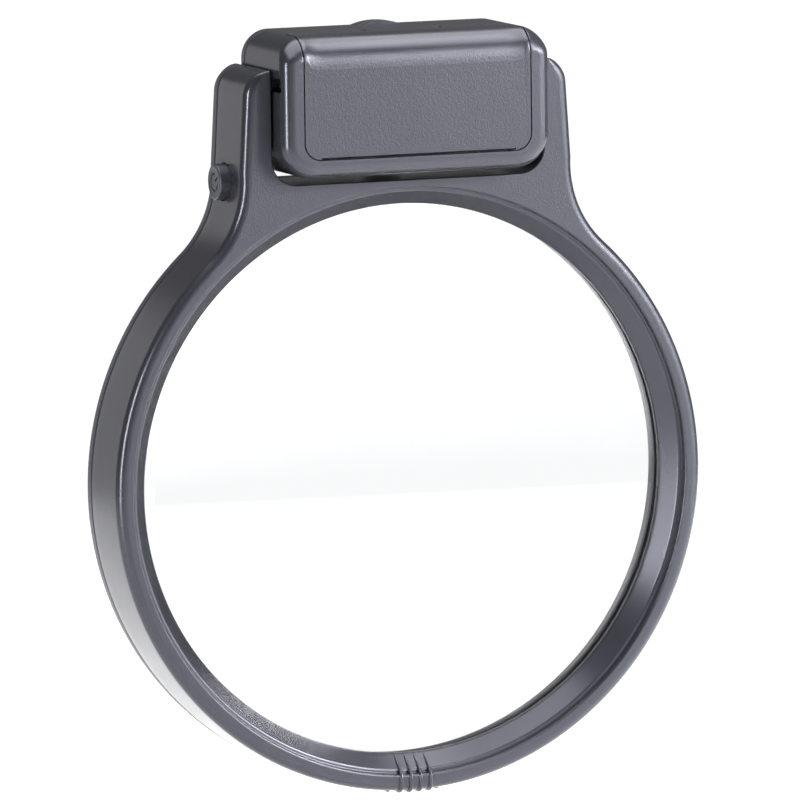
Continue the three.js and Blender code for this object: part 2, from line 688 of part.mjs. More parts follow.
function batteryDoor() {
  let body = doorZone(0).intersect(boxSolid(0, SEAM)).subtract(boxSolid(DOOR_THICK, SEAM));
  const edge = block(-DOOR_HALF_W, DOOR_HALF_W, BOX_FRONT - 1, BOX_FRONT + 4, DOOR_LOW - 1, BEAD_Z);
  body = join(cut(body, edge), doorBead(0));
  const underTop = BOX_HALF_H - DOOR_THICK;
  for (const side of [-1, 1]) {
    const hook = block(side * DOOR_HOOK_X - DOOR_HOOK_HALF_W, side * DOOR_HOOK_X + DOOR_HOOK_HALF_W,
      DOOR_REAR - 3, DOOR_REAR - 2, underTop - 2.4, underTop + 0.3);
    body = join(cut(body, notch(side, DOOR_REAR - 0.9, DOOR_REAR + 1)), hook);
  }
  return body;
}

// ---- magnet box: inside ----

function batteryTray() {
  const front = CELL_Y + 0.6;
  let body = block(-TRAY_HALF_W, TRAY_HALF_W, TRAY_BACK, front, -TRAY_HALF_H, TRAY_HALF_H);
  const room = TRAY_HALF_W - 1;
  for (const side of [-1, 1]) {
    body = cut(body, barX(CELL_R + 0.15, -room, room, CELL_Y, side * CELL_Z, 24));
    body = cut(body, block(-room, room, CELL_Y, CELL_Y - 6, side * CELL_Z - CELL_R - 0.15,
      side * CELL_Z + CELL_R + 0.15));
    for (const end of [-1, 1]) {
      body = cut(body, block(end * (CELL_LENGTH / 2 + 0.6), end * room, TRAY_BACK - TRAY_FLOOR, CELL_Y - 6,
        side * CELL_Z - 5, side * CELL_Z + 5));
    }
  }
  return cut(body, block(CONTACT_X - 0.4, room, TRAY_BACK - TRAY_FLOOR, CELL_Y - 6, -6, 6));
}

function cell(side) {
  const z = side * CELL_Z;
  const can = barX(CELL_R, -CELL_LENGTH / 2, CELL_LENGTH / 2 - 1.2, CELL_Y, z, 24);
  const nub = barX(1.9, CELL_LENGTH / 2 - 1.4, CELL_LENGTH / 2, CELL_Y, z, 16);
  const body = can.add(nub);
  return side > 0 ? body : body.rotate([0, 0, 180]).translate([0, 2 * CELL_Y, 0]);
}

const contactPlate = (x, z0, z1) => block(x - 0.2, x + 0.2, CELL_Y - 3.6, CELL_Y + 3.6, z0, z1);

// A conical battery spring, from its wide end on the contact plate to the cell.
function contactSpring(end, z) {
  const turns = 3;
  const perTurn = 9;
  const from = end * (CONTACT_X - 0.55);
  const to = end * (CELL_LENGTH / 2 + 0.5);
  const points = [];
  for (let index = 0; index <= turns * perTurn; index += 1) {
    const along = index / (turns * perTurn);
    const angle = 2 * Math.PI * turns * along;
    const radius = 3.4 - 1.2 * along;
    points.push(new THREE.Vector3(
      from + (to - from) * along, CELL_Y + radius * Math.cos(angle), z + radius * Math.sin(angle),
    ));
  }
  return solid(new THREE.ExtrudeGeometry(new Pen().arc(0, 0, 0.25, 0, 2 * Math.PI, 6).shape(), {
    steps: turns * perTurn,
    extrudePath: new THREE.CatmullRomCurve3(points),
    bevelEnabled: false,
  }));
}

// A bush with its flange on the inside of the box wall.
function hingeBush(side) {
  const outer = BOX_HALF_W - 0.1;
  const wallInner = BOX_HALF_W - BOX_WALL - 0.15;
  const sleeve = barX(BUSH_R, side * outer, side * wallInner, PIVOT_Y, PIVOT_Z, 24);
  const flange = barX(BUSH_R + 1, side * wallInner, side * (wallInner - 0.5), PIVOT_Y, PIVOT_Z, 24);
  return cut(sleeve.add(flange), barX(TRUNNION_R + 0.2, side * 40, side * 20, PIVOT_Y, PIVOT_Z, 24));
}

const ringX = (inner, outer, x0, x1) => barX(outer, x0, x1, PIVOT_Y, PIVOT_Z, 20)
  .subtract(barX(inner, x0 - 1, x1 + 1, PIVOT_Y, PIVOT_Z, 20));

function hingeClip(side) {
  const x0 = Math.min(side * CLIP_OUTER, side * CLIP_INNER);
  const x1 = Math.max(side * CLIP_OUTER, side * CLIP_INNER);
  const ring = ringX(CLIP_SEAT_R + 0.1, CLIP_R, x0, x1);
  const mouth = block(x0 - 1, x1 + 1, PIVOT_Y - 1.4, PIVOT_Y + 1.4, PIVOT_Z - 6, PIVOT_Z);
  return ring.subtract(mouth);
}

function frictionWasher(side) {
  const x0 = Math.min(side * WASHER_OUTER, side * WASHER_INNER);
  const x1 = Math.max(side * WASHER_OUTER, side * WASHER_INNER);
  return ringX(TRUNNION_R + 0.15, WASHER_R, x0, x1);
}

// A lead, as an eight-sided bar along a smooth path of [x, y, z] points.
function lead(points, radius, steps = 12) {
  const path = new THREE.CatmullRomCurve3(points.map(([x, y, z]) => new THREE.Vector3(x, y, z)), false,
    'catmullrom', 0.2);
  return solid(new THREE.ExtrudeGeometry(new Pen().arc(0, 0, radius, 0, 2 * Math.PI, 6).shape(), {
    steps, extrudePath: path, bevelEnabled: false,
  }));
}

// ---- assembly ----

const assembly = new THREE.Group();
const box = new THREE.Group();
const frame = new THREE.Group();
frame.position.z = LENS_AXIS_Z;
assembly.add(box, frame);

function place(group, name, body, material) {
  const mesh = new THREE.Mesh(geometryOf(body), material);
  mesh.name = name;
  group.add(mesh);
}

place(box, 'box_housing', boxHousing(), blackShell);
place(box, 'box_back_cover', backCover(), blackShell);
place(box, 'glass_pad', barY(PAD_R, 0, -PAD_THICK, 0, 0, 48), rubber);
place(box, 'disc_magnet', barY(MAGNET_R, MAGNET_BACK, MAGNET_BACK - MAGNET_DEPTH, 0, 0, 48), magnetPlate);
place(box, 'yoke_plate', block(-18, 18, YOKE_BACK, YOKE_BACK - YOKE_THICK, -13, 13), steel);
place(box, 'battery_tray', batteryTray(), blackInner);
place(box, 'cell_upper', cell(1), cellJacket);
place(box, 'cell_lower', cell(-1), cellJacket);
place(box, 'contact_bridge', contactPlate(CONTACT_X, -9.6, 9.6), nickel);
place(box, 'contact_tab_upper', contactPlate(-CONTACT_X, 1.6, 9.6), nickel);
place(box, 'contact_tab_lower', contactPlate(-CONTACT_X, -9.6, -1.6), nickel);
place(box, 'contact_spring_upper', contactSpring(-1, CELL_Z), nickel);
place(box, 'contact_spring_lower', contactSpring(1, -CELL_Z), nickel);
for (const [name, side] of [['left', -1], ['right', 1]]) {
  place(box, `hinge_bush_${name}`, hingeBush(side), blackInner);
}
boxScrews.forEach(([x, z], index) => {
  place(box, `box_screw_${index + 1}`, coverScrew(x, z), steel);
});
place(box, 'battery_door', batteryDoor(), blackShell);

place(frame, 'front_frame', frontFrame(), blackShell);
place(frame, 'rear_cover', rearCover(), blackShell);
place(frame, 'lens', lensBody(), clearLens);
place(frame, 'lens_gasket', flatRing(APERTURE_R + 0.2, LENS_R, LENS_FRONT - 0.1, LIP_BACK + 0.1), rubber);
place(frame, 'lens_retainer', flatRing(COLLAR_R, LENS_R, LENS_BACK + 0.1, RETAINER_BACK), blackInner);
for (const [name, side] of [['left', -1], ['right', 1]]) {
  place(frame, `lamp_board_${name}`, lampBoard(side), boardGreen);
  place(frame, `lamp_window_${name}`, lampWindow(side), diffuser);
  LAMP_ANGLES.forEach((degrees, index) => {
    place(frame, `lamp_${name}_${index + 1}`, lamp(side, degrees), ledYellow);
  });
}
place(frame, 'switch_board', switchBoard(), boardGreen);
place(frame, 'tact_switch', switchBody(), steel);
place(frame, 'power_button', powerButton(), rubber);
coverScrews.forEach(([x, z], index) => {
  place(frame, `cover_screw_${index + 1}`, coverScrew(x, z), steel);
});

// The trunnion hardware belongs to the frame but is drawn in the frame of the box.
for (const [name, side] of [['left', -1], ['right', 1]]) {
  place(box, `friction_washer_${name}`, frictionWasher(side), steel);
  place(box, `hinge_clip_${name}`, hingeClip(side), steel);
}

// Two leads run through the left trunnion, each in two lengths that meet at the pivot.
const LEAD_R = 0.42;
const LEAD_SPLIT_X = -33;
for (const [name, offset, material] of [['red', -0.6, leadRed], ['black', 0.6, rubber]]) {
  const y = PIVOT_Y + offset;
  place(box, `supply_lead_${name}`, lead([
    [-27.05, -13.6 + offset, -4], [-27.05, -15 + offset, 1], [-27.2, y, 4.4], [-28.2, y, PIVOT_Z],
    [-30, y, PIVOT_Z], [LEAD_SPLIT_X + 0.15, y, PIVOT_Z],
  ], LEAD_R), material);
  const z = PIVOT_Z - LENS_AXIS_Z;
  place(frame, `lamp_lead_${name}`, lead([
    [LEAD_SPLIT_X - 0.15, y, z], [-35.9, y, z], [-36.45, y, z - 1], [-36.45, y, z - 6],
    [-36.45, -16.6 + offset, 79], [-36.2, -15 + offset, 73], [-35.45, -14 + offset, 69.6],
  ], LEAD_R), material);
}

// One jumper joins the two lamp boards by way of the channel round the ring.
const JUMPER_R = 68.3;
const jumperPoints = [];
for (let degrees = 128; degrees <= 412; degrees += 8) {
  const angle = THREE.MathUtils.degToRad(degrees);
  jumperPoints.push([JUMPER_R * Math.cos(angle), -15, JUMPER_R * Math.sin(angle)]);
}
place(frame, 'lamp_jumper', lead(jumperPoints, 0.5, 44), rubber);

export default assembly;
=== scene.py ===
"""Looks of a magnetic aquarium magnifier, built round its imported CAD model.

Everything is drawn in millimetres in the CAD model's own frame: +Z up, the viewer on the -Y
side, and y = 0 at the face of the tank glass. Meshes are scaled to metres when they are made.
"""

import json
import math

import bmesh
import bpy
from mathutils import Matrix, Vector

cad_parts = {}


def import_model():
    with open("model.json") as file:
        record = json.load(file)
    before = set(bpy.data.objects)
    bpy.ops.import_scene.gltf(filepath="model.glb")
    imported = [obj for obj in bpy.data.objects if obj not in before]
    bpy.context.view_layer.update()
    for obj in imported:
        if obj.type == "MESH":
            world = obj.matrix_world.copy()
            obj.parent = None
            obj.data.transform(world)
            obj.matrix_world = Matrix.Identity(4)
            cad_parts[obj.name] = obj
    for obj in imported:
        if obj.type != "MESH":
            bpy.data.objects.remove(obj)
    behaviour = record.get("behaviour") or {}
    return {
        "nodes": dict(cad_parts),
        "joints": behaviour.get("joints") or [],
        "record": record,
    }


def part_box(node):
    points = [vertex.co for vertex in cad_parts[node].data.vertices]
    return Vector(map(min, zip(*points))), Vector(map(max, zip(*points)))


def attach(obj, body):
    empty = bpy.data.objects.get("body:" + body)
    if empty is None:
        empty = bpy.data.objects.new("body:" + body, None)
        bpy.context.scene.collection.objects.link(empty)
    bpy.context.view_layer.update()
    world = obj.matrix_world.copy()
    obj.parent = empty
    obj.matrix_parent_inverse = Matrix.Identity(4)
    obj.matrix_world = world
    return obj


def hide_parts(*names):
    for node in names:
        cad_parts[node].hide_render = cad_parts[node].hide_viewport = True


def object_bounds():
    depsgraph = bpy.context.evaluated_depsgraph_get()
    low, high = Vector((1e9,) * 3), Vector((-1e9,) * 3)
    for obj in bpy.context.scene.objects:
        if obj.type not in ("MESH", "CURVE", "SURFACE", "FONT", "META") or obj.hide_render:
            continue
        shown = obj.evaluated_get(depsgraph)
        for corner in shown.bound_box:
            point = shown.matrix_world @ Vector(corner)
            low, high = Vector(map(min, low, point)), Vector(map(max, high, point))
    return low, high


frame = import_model()
cad_box = [list(corner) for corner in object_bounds()]

MM = 0.001
TAU = 2 * math.pi


def centre(node):
    """The middle of a CAD node's box, in millimetres."""
    low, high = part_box(node)
    return (low + high) / 2 / MM


def joint(name):
    """A joint of the frame, by its name."""
    return next(item for item in frame["joints"] if item["name"] == name)


# ---- places taken from the frame ----

AXIS_Z = centre("lens").z
_, PIVOT_Y, PIVOT_Z = (value / MM for value in joint("lens_swing")["pos_m"])
DOOR_BEAD_R = 0.9
_, DOOR_EDGE_Y, DOOR_EDGE_Z = (value / MM for value in joint("door_open")["pos_m"])
BEAD_Y = DOOR_EDGE_Y + DOOR_BEAD_R
BEAD_Z = DOOR_EDGE_Z + DOOR_BEAD_R
BUTTON_Y = centre("power_button").y
BUTTON_Z = centre("power_button").z
BUTTON_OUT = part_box("power_button")[0].x / MM

# ---- section sizes of the mouldings ----

BACK_FACE = -0.6
COVER_RIM = -4.2
SHELL_RIM = -4.5
FRAME_FRONT = -22.4
BOX_FRONT = -28.8

RING_R = 71.8
FILLET_R = 25
FILLET_X = 65.6
EAR_FLARE = math.radians(3.4)
EAR_INNER_X = 33.3
EAR_CENTRE_X = 33.4
EAR_R = 6.2
EAR_TOP = 96
EAR_INNER_ROUND = 0.5
CRADLE_FLOOR = 69.6
CRADLE_R = 6
WALL = 2.2
FRONT_ROUND = 2.2
REAR_ROUND = 1.6
INNER_ROUND = 0.4
RIM_ROUND = 0.35
SIDE_ROWS = (-8, -14)
LENS_SEAT = -16
COVER_INNER = -2.4

RIB_COUNT = 6
RIB_PITCH = 2.4
RIB_R = 0.55
# the end of a long rib, over the front face and down the funnel: y, radius from the axis, thickness
RIB_END = [
    (FRAME_FRONT, 68.6, 0.5), (-21.95, 67.7, 0.45), (-21.1, 66.95, 0.36),
    (-19.9, 65.9, 0.26), (-18.6, 64.85, 0.18), (-17.6, 64.0, 0.08),
]

TRUNNION_R = 2.4
TRUNNION_BORE_R = 1.3
TRUNNION_HOLE_R = 3.25
CLIP_GROOVE_R = 2.1
BUTTON_HOLE_R = 4.45
BUTTON_HOLE_X = (-48, -36)

LAMP_ANGLE = 62
LAMP_SPAN = 6
LAMP_R = 69.8
LAMP_HALF = 1.9

SCREW_HEAD_HOLE = (1.6, -2.1)
SCREW_SHANK_HOLE = (1.05, -6)

BOX_HALF_W = 32.8
BOX_HALF_H = 16.25
BOX_TOP_CORNER = 6.5
BOX_LOW_CORNER = 8
BOX_TOP_ROUND = 7.5
BOX_LOW_ROUND = 3.8
BOX_SIDE_ROUND = 3
BOX_LEAST_ROUND = 0.4
BOX_SIDE_ROW = -18
BOX_WALL = 2.6
BOSS_R = 17.1
BOSS_FACE = -0.2
PAD_R = 15.5
PAD_THICK = 0.8
MAGNET_R = 14.5

DOOR_HALF_W = 27.6
DOOR_LOW = -11.7
DOOR_REAR = -17.4
DOOR_CORNER = 3.8
DOOR_THICK = 1.4
DOOR_GAP = 0.3
DOOR_LEDGE = 1.3
NOTCH_X = 9.4
NOTCH_HALF_W = 1.2
NOTCH_DEPTH = 0.7
HOOK_X = 18
HOOK_HALF_W = 2

CELL_R = 5.2
SLEEVE_HALF = 21.3

RING_STEPS = 256
ROUND_STEPS = 8
TINY_R = 1e-4


# ---- mesh making ----

class Shell:
    """Vertices in millimetres and faces, gathered row by row into one mesh."""

    def __init__(self):
        self.points = []
        self.faces = []

    def row(self, points):
        start = len(self.points)
        self.points.extend(Vector(point) for point in points)
        return list(range(start, len(self.points)))

    def bridge(self, first, second):
        count = len(first)
        for index in range(count):
            after = (index + 1) % count
            self.faces.append((first[index], first[after], second[after], second[index]))

    def bridge_all(self, rows):
        for first, second in zip(rows, rows[1:]):
            self.bridge(first, second)

    def fill_between(self, outer, inner):
        """Fills the flat face between an outline and a hole in it."""
        sheet = bmesh.new()
        indices = list(outer) + list(inner)
        corners = [sheet.verts.new(self.points[index]) for index in indices]
        edges = []
        for first, last in ((0, len(outer)), (len(outer), len(indices))):
            loop = corners[first:last]
            edges += [sheet.edges.new(pair) for pair in zip(loop, loop[1:] + loop[:1])]
        sheet.verts.index_update()
        filled = bmesh.ops.triangle_fill(sheet, edges=edges, use_beauty=True, normal=(0, 1, 0))
        for item in filled["geom"]:
            if isinstance(item, bmesh.types.BMFace):
                self.faces.append(tuple(indices[corner.index] for corner in item.verts))
        sheet.free()

    def cap(self, row):
        self.faces.append(tuple(row))

    def object(self, name):
        mesh = bpy.data.meshes.new(name)
        mesh.from_pydata([point * MM for point in self.points], [], self.faces)
        tidy = bmesh.new()
        tidy.from_mesh(mesh)
        bmesh.ops.remove_doubles(tidy, verts=tidy.verts, dist=1e-7)
        bmesh.ops.recalc_face_normals(tidy, faces=tidy.faces)
        tidy.to_mesh(mesh)
        tidy.free()
        made = bpy.data.objects.new(name, mesh)
        bpy.context.scene.collection.objects.link(made)
        return made


def arc(x, y, radius, start, end, steps):
    """Points of an arc in a plane, both ends included."""
    angles = [start + (end - start) * index / steps for index in range(steps + 1)]
    return [(x + radius * math.cos(angle), y + radius * math.sin(angle)) for angle in angles]


def circle(radius, steps):
    """Points all round a circle, the last of them one step before the first."""
    return arc(0, 0, radius, 0, TAU * (steps - 1) / steps, steps - 1)


def ease(value, low, high):
    """0 up to low, 1 from high on, and a smooth rise between them."""
    share = min(max((value - low) / (high - low), 0), 1)
    return share * share * (3 - 2 * share)


def line(start, end, steps):
    """Points strictly between two points."""
    return [
        (start[0] + (end[0] - start[0]) * index / steps, start[1] + (end[1] - start[1]) * index / steps)
        for index in range(1, steps)
    ]


def apply_modifiers(item):
    """Replaces an object's mesh by what its modifiers make of it."""
    graph = bpy.context.evaluated_depsgraph_get()
    mesh = bpy.data.meshes.new_from_object(item.evaluated_get(graph))
    old = item.data
    item.modifiers.clear()
    item.data = mesh
    bpy.data.meshes.remove(old)


def boolean(item, cutter, operation="DIFFERENCE"):
    """Cuts an object by another, or joins them, and uses the other one up."""
    modifier = item.modifiers.new("boolean", "BOOLEAN")
    modifier.operation = operation
    modifier.solver = "MANIFOLD"
    modifier.object = cutter
    apply_modifiers(item)
    bpy.data.objects.remove(cutter)
    return item


def soften(item, width, segments=2, angle=40):
    """Rounds the sharp edges by a small width in millimetres."""
    modifier = item.modifiers.new("bevel", "BEVEL")
    modifier.width = width * MM
    modifier.segments = segments
    modifier.limit_method = "ANGLE"
    modifier.angle_limit = math.radians(angle)
    modifier.miter_outer = "MITER_ARC"
    apply_modifiers(item)
    return item


def smooth(item, angle=32, weighted=True):
    """Shades an object smooth, apart from edges sharper than an angle."""
    mesh = item.data
    mesh.shade_smooth()
    mesh.set_sharp_from_angle(angle=math.radians(angle))
    if weighted:
        modifier = item.modifiers.new("weights", "WEIGHTED_NORMAL")
        modifier.keep_sharp = True
        apply_modifiers(item)
    return item


def merge(items):
    """Joins objects into the first of them."""
    first = items[0]
    joined = bmesh.new()
    for item in items:
        joined.from_mesh(item.data)
    joined.to_mesh(first.data)
    joined.free()
    for item in items[1:]:
        bpy.data.objects.remove(item)
    return first


def lathe(name, profile, steps=96, axis="Y", at=(0, 0, 0)):
    """A closed solid of revolution from (radius, along) points that close on themselves."""
    shell = Shell()
    rows = []
    for radius, along in profile:
        ring = circle(max(radius, TINY_R), steps)
        if axis == "Y":
            rows.append(shell.row((at[0] + u, along + at[1], at[2] + v) for u, v in ring))
        else:
            rows.append(shell.row((along + at[0], at[1] + u, at[2] + v) for u, v in ring))
    shell.bridge_all(rows)
    shell.bridge(rows[-1], rows[0])
    return shell.object(name)


def capped(name, shell, rows):
    """An object of matching rows, closed at both ends."""
    shell.bridge_all(rows)
    shell.cap(rows[0])
    shell.cap(rows[-1])
    return shell.object(name)


def bar(name, radius, start, end, axis, at, steps=48):
    """A round bar along an axis."""
    return lathe(name, [(0, start), (radius, start), (radius, end), (0, end)], steps, axis, at)


def prism(name, outline, start, end):
    """A front-view outline (x, z) carried along Y."""
    shell = Shell()
    return capped(name, shell, [shell.row((x, y, z) for x, z in outline) for y in (start, end)])


def side_prism(name, outline, start, end):
    """A side-view outline (y, z) carried along X."""
    shell = Shell()
    return capped(name, shell, [shell.row((x, y, z) for y, z in outline) for x in (start, end)])


def block(name, low, high):
    """A straight block between its lowest and highest corners."""
    (x0, y0, z0), (x1, y1, z1) = low, high
    return prism(name, [(x0, z0), (x1, z0), (x1, z1), (x0, z1)], y0, y1)


def tube(name, points, radii, sides=14):
    """A round bar of changing radius along a line of points, closed at both ends."""
    shell = Shell()
    rows = []
    points = [Vector(point) for point in points]
    side = None
    for index, point in enumerate(points):
        before = points[max(index - 1, 0)]
        after = points[min(index + 1, len(points) - 1)]
        along = (after - before).normalized()
        if side is None:
            side = along.orthogonal().normalized()
        side = (side - along * side.dot(along)).normalized()
        across = along.cross(side)
        ring = circle(radii[index], sides)
        rows.append(shell.row(point + side * u + across * v for u, v in ring))
    return capped(name, shell, rows)


# ---- lens frame ----

def frame_outline(inset, share=1.0):
    """The outline of ring, neck and ears (x, z from the lens axis), drawn inward by an inset.
    On the inner sides of the ears and the cradle only a share of the inset counts. Each point
    carries its share, and every inset gives the same number of points, so outlines bridge."""
    inner_inset = inset * share
    fillet_z = math.sqrt((RING_R + FILLET_R) ** 2 - FILLET_X ** 2)
    meet = math.atan2(fillet_z, FILLET_X)
    ear_z = EAR_TOP - EAR_R
    ear_r = EAR_R - inner_inset
    inner = EAR_INNER_X + inner_inset
    corner = max(EAR_INNER_ROUND - inner_inset, 0.02)
    corner_x = inner + corner
    corner_z = ear_z + math.sqrt((ear_r - corner) ** 2 - (corner_x - EAR_CENTRE_X) ** 2)
    turn = math.atan2(corner_z - ear_z, corner_x - EAR_CENTRE_X)
    cradle_r = CRADLE_R + inner_inset
    floor = CRADLE_FLOOR - inner_inset

    ring = arc(0, 0, RING_R - inset, -math.pi / 2, meet, 110)
    fillet = arc(FILLET_X, fillet_z, FILLET_R + inset, meet + math.pi, math.pi - EAR_FLARE, 28)[1:]
    shares = [1.0] * 8 + [1 + (share - 1) * ease(step, 0, 8) for step in range(1, 9)]
    top = []
    for index, part in enumerate(shares):
        angle = EAR_FLARE + (turn - EAR_FLARE) * index / (len(shares) - 1)
        radius = EAR_R - inset * part
        top.append((EAR_CENTRE_X + radius * math.cos(angle), ear_z + radius * math.sin(angle)))
    side = line(fillet[-1], top[0], 8)
    lip = arc(corner_x, corner_z, corner, turn, math.pi, 5)[1:]
    cradle = arc(inner - cradle_r, floor + cradle_r, cradle_r, 0, -math.pi / 2, 16)
    inside = lip + line(lip[-1], cradle[0], 6) + cradle + line(cradle[-1], (0, floor), 12) + [(0, floor)]
    outside = ring + fillet + side
    parts = [1.0] * len(outside) + shares + [share] * len(inside)
    half = [(x, z, part) for (x, z), part in zip(outside + top + inside, parts)]
    return half + [(-x, z, part) for x, z, part in reversed(half[1:-1])]


def frame_row(shell, inset, y):
    """A row of points round the frame's outline."""
    return shell.row((x, y, z + AXIS_Z) for x, z, _ in frame_outline(inset))


def rounded_rows(shell, radius, sharp, start, face):
    """Rows of the rounding from the side on to a face, almost sharp along the inner sides."""
    share = sharp / radius
    rows = []
    for inset, y in rounding(radius, start, face) + [(radius + 0.1, face)]:
        outline = frame_outline(inset, share)
        rows.append(shell.row((x, face + (y - face) * part, z + AXIS_Z) for x, z, part in outline))
    return rows


def ring_row(shell, radius, y):
    """A row of points all round the lens axis."""
    return shell.row((x, y, z + AXIS_Z) for x, z in circle(radius, RING_STEPS))


def rim(edge, turn):
    """(inset, y) pairs of the eased edge of a shell's rim, from the seam on to its side wall."""
    near = RIM_ROUND * 0.3
    return [(RIM_ROUND, edge), (near, edge + turn * near), (0, edge + turn * RIM_ROUND)]


def rounding(radius, y_start, y_end):
    """(inset, y) pairs of a quarter round from a side wall on to a face."""
    turn = 1 if y_end > y_start else -1
    pairs = []
    for index in range(ROUND_STEPS + 1):
        angle = math.pi / 2 * index / ROUND_STEPS
        pairs.append((radius * (1 - math.cos(angle)), y_end - turn * radius * (1 - math.sin(angle))))
    return pairs


def opening_profile():
    """(radius, y) pairs of the lens opening, from the front face back to the lens seat."""
    edge, ease_r, steps = 68.34, 0.5, 5
    funnel_front = (66.55, -20.5)
    funnel_back = (63.85, -17.35)
    pairs = [(68.42, FRAME_FRONT), (edge, FRAME_FRONT)]
    for index in range(1, steps + 1):
        angle = math.pi / 2 * index / steps
        pairs.append((edge - ease_r * math.sin(angle), FRAME_FRONT + ease_r * (1 - math.cos(angle))))
    pairs += [(67.78, -21.35), (67.7, -21.1), (67.5, -20.94), (67.2, -20.9), (66.95, -20.86), (66.72, -20.7)]
    pairs += [funnel_front] + line(funnel_front, funnel_back, 6) + [funnel_back]
    pairs += [(63.66, -17.12), (63.54, -16.9), (63.5, -16.6), (63.5, -16.15), (63.6, LENS_SEAT)]
    return pairs


def rib(name, x, long):
    """One grip rib: a half-buried bar under the ring, which may run on over its front."""
    rise = math.sqrt(RING_R ** 2 - x ** 2)
    drop = RING_R - rise
    start = (SHELL_RIM - 0.5, rise)
    path = [start] + line(start, (FRAME_FRONT + FRONT_ROUND, rise), 8)
    radii = [0.2] + [RIB_R] * 7
    if long:
        corner = rounding(FRONT_ROUND, SHELL_RIM, FRAME_FRONT)
        path += [(y, RING_R - inset - drop) for inset, y in corner]
        radii += [RIB_R] * len(corner)
        path += [(y, radius - drop) for y, radius, _ in RIB_END]
        radii += [thickness for _, _, thickness in RIB_END]
    else:
        path += [(FRAME_FRONT + 2.6, rise), (FRAME_FRONT + 2.2, rise - 0.1)]
        radii += [0.45, 0.2]
    return tube(name, [(x, y, AXIS_Z - radius) for y, radius in path], radii, 12)


def trunnion(name, side):
    """A hollow hinge pin on the inner side of an ear, with a groove for its clip."""
    root, tip = 34.4, 28
    profile = [
        (TRUNNION_BORE_R, root), (TRUNNION_R, root), (TRUNNION_R, 29.2), (CLIP_GROOVE_R, 29.2),
        (CLIP_GROOVE_R, 28.4), (TRUNNION_R, 28.4), (TRUNNION_R, 28.2), (2.2, tip), (TRUNNION_BORE_R, tip),
    ]
    return lathe(name, [(r, side * x) for r, x in profile], 48, "X", (0, PIVOT_Y, PIVOT_Z))


def front_frame():
    """The front shell with its lens opening and the skirt round the lens, the ribs and trunnions."""
    shell = Shell()
    outside = rim(SHELL_RIM, -1) + [(0, y) for y in SIDE_ROWS]
    rows = [frame_row(shell, inset, y) for inset, y in outside]
    rows += rounded_rows(shell, FRONT_ROUND, INNER_ROUND, SHELL_RIM, FRAME_FRONT)
    seat_r, skirt_r, skirt_end, inner_face = 65.4, 67, -10, -20
    skirt = [(seat_r, LENS_SEAT), (seat_r, skirt_end), (skirt_r, skirt_end), (skirt_r, inner_face)]
    opening = [ring_row(shell, radius, y) for radius, y in opening_profile() + skirt]
    inside = [frame_row(shell, WALL, y) for y in (inner_face, SHELL_RIM)]
    shell.bridge_all(rows)
    shell.fill_between(rows[-1], opening[0])
    shell.bridge_all(opening)
    shell.fill_between(inside[0], opening[-1])
    shell.bridge_all(inside)
    shell.bridge(inside[-1], rows[0])
    made = shell.object("lens_frame_shell")
    boolean(made, bar("cut", BUTTON_HOLE_R, *BUTTON_HOLE_X, "X", (0, BUTTON_Y, BUTTON_Z), 64))
    smooth(made)
    last = RIB_COUNT - 1
    ribs = [rib("rib", (index - last / 2) * RIB_PITCH, 0 < index < last) for index in range(RIB_COUNT)]
    trunnions = [trunnion("trunnion", side) for side in (-1, 1)]
    for item in ribs + trunnions:
        smooth(item, 40, False)
    return merge([made] + ribs + trunnions)


def lamp_arc(side, grow):
    """The outline of a lamp window beside the lens: a slot bent to the ring."""
    middle = math.radians(LAMP_ANGLE if side > 0 else 180 - LAMP_ANGLE)
    span = math.radians(LAMP_SPAN)
    half = LAMP_HALF + grow
    start, end = middle - span, middle + span

    def round_end(at, first):
        return arc(LAMP_R * math.cos(at), LAMP_R * math.sin(at), half, first, first + math.pi, 14)[1:-1]

    points = arc(0, 0, LAMP_R + half, start, end, 18) + round_end(end, end)
    points += arc(0, 0, LAMP_R - half, end, start, 18) + round_end(start, start + math.pi)
    return [(x, z + AXIS_Z) for x, z in points]


def screw_holes(made, kind):
    """Cuts a hole with a wider seat for the head of each of the four screws of one kind."""
    for number in range(1, 5):
        place = centre(f"{kind}_{number}")
        for (radius, end), steps in ((SCREW_HEAD_HOLE, 48), (SCREW_SHANK_HOLE, 32)):
            boolean(made, bar("cut", radius, 1, end, "Y", (place.x, 0, place.z), steps))


def rear_cover():
    """The rear shell, whose opening flares out to the back from a collar behind the lens."""
    shell = Shell()
    rows = [frame_row(shell, inset, y) for inset, y in rim(COVER_RIM, 1)]
    rows += rounded_rows(shell, REAR_ROUND, INNER_ROUND, COVER_RIM, BACK_FACE)
    throat, flare_wide, flare_deep, flare_start = 63.8, 4.4, 6.36, -7
    flare = [(68.35, BACK_FACE), (68.25, BACK_FACE)]
    steps = 10
    for index in range(steps + 1):
        angle = math.pi / 2 * (1 - index / steps)
        radius = throat + flare_wide * (1 - math.cos(angle))
        flare.append((radius, flare_start + flare_deep * math.sin(angle)))
    flare += [(throat, -9.8), (64, -10), (65.3, -10), (65.3, -6.6), (66, -3.6), (66.9, COVER_INNER)]
    collar = [ring_row(shell, radius, y) for radius, y in flare]
    inside = [frame_row(shell, WALL, y) for y in (COVER_INNER, COVER_RIM)]
    shell.bridge_all(rows)
    shell.fill_between(rows[-1], collar[0])
    shell.bridge_all(collar)
    shell.fill_between(inside[0], collar[-1])
    shell.bridge_all(inside)
    shell.bridge(inside[-1], rows[0])
    made = shell.object("rear_cover_shell")
    screw_holes(made, "cover_screw")
    for side in (-1, 1):
        boolean(made, prism("cut", lamp_arc(side, 0.15), 1, -5))
    soften(made, 0.12, 2, 50)
    return smooth(made)


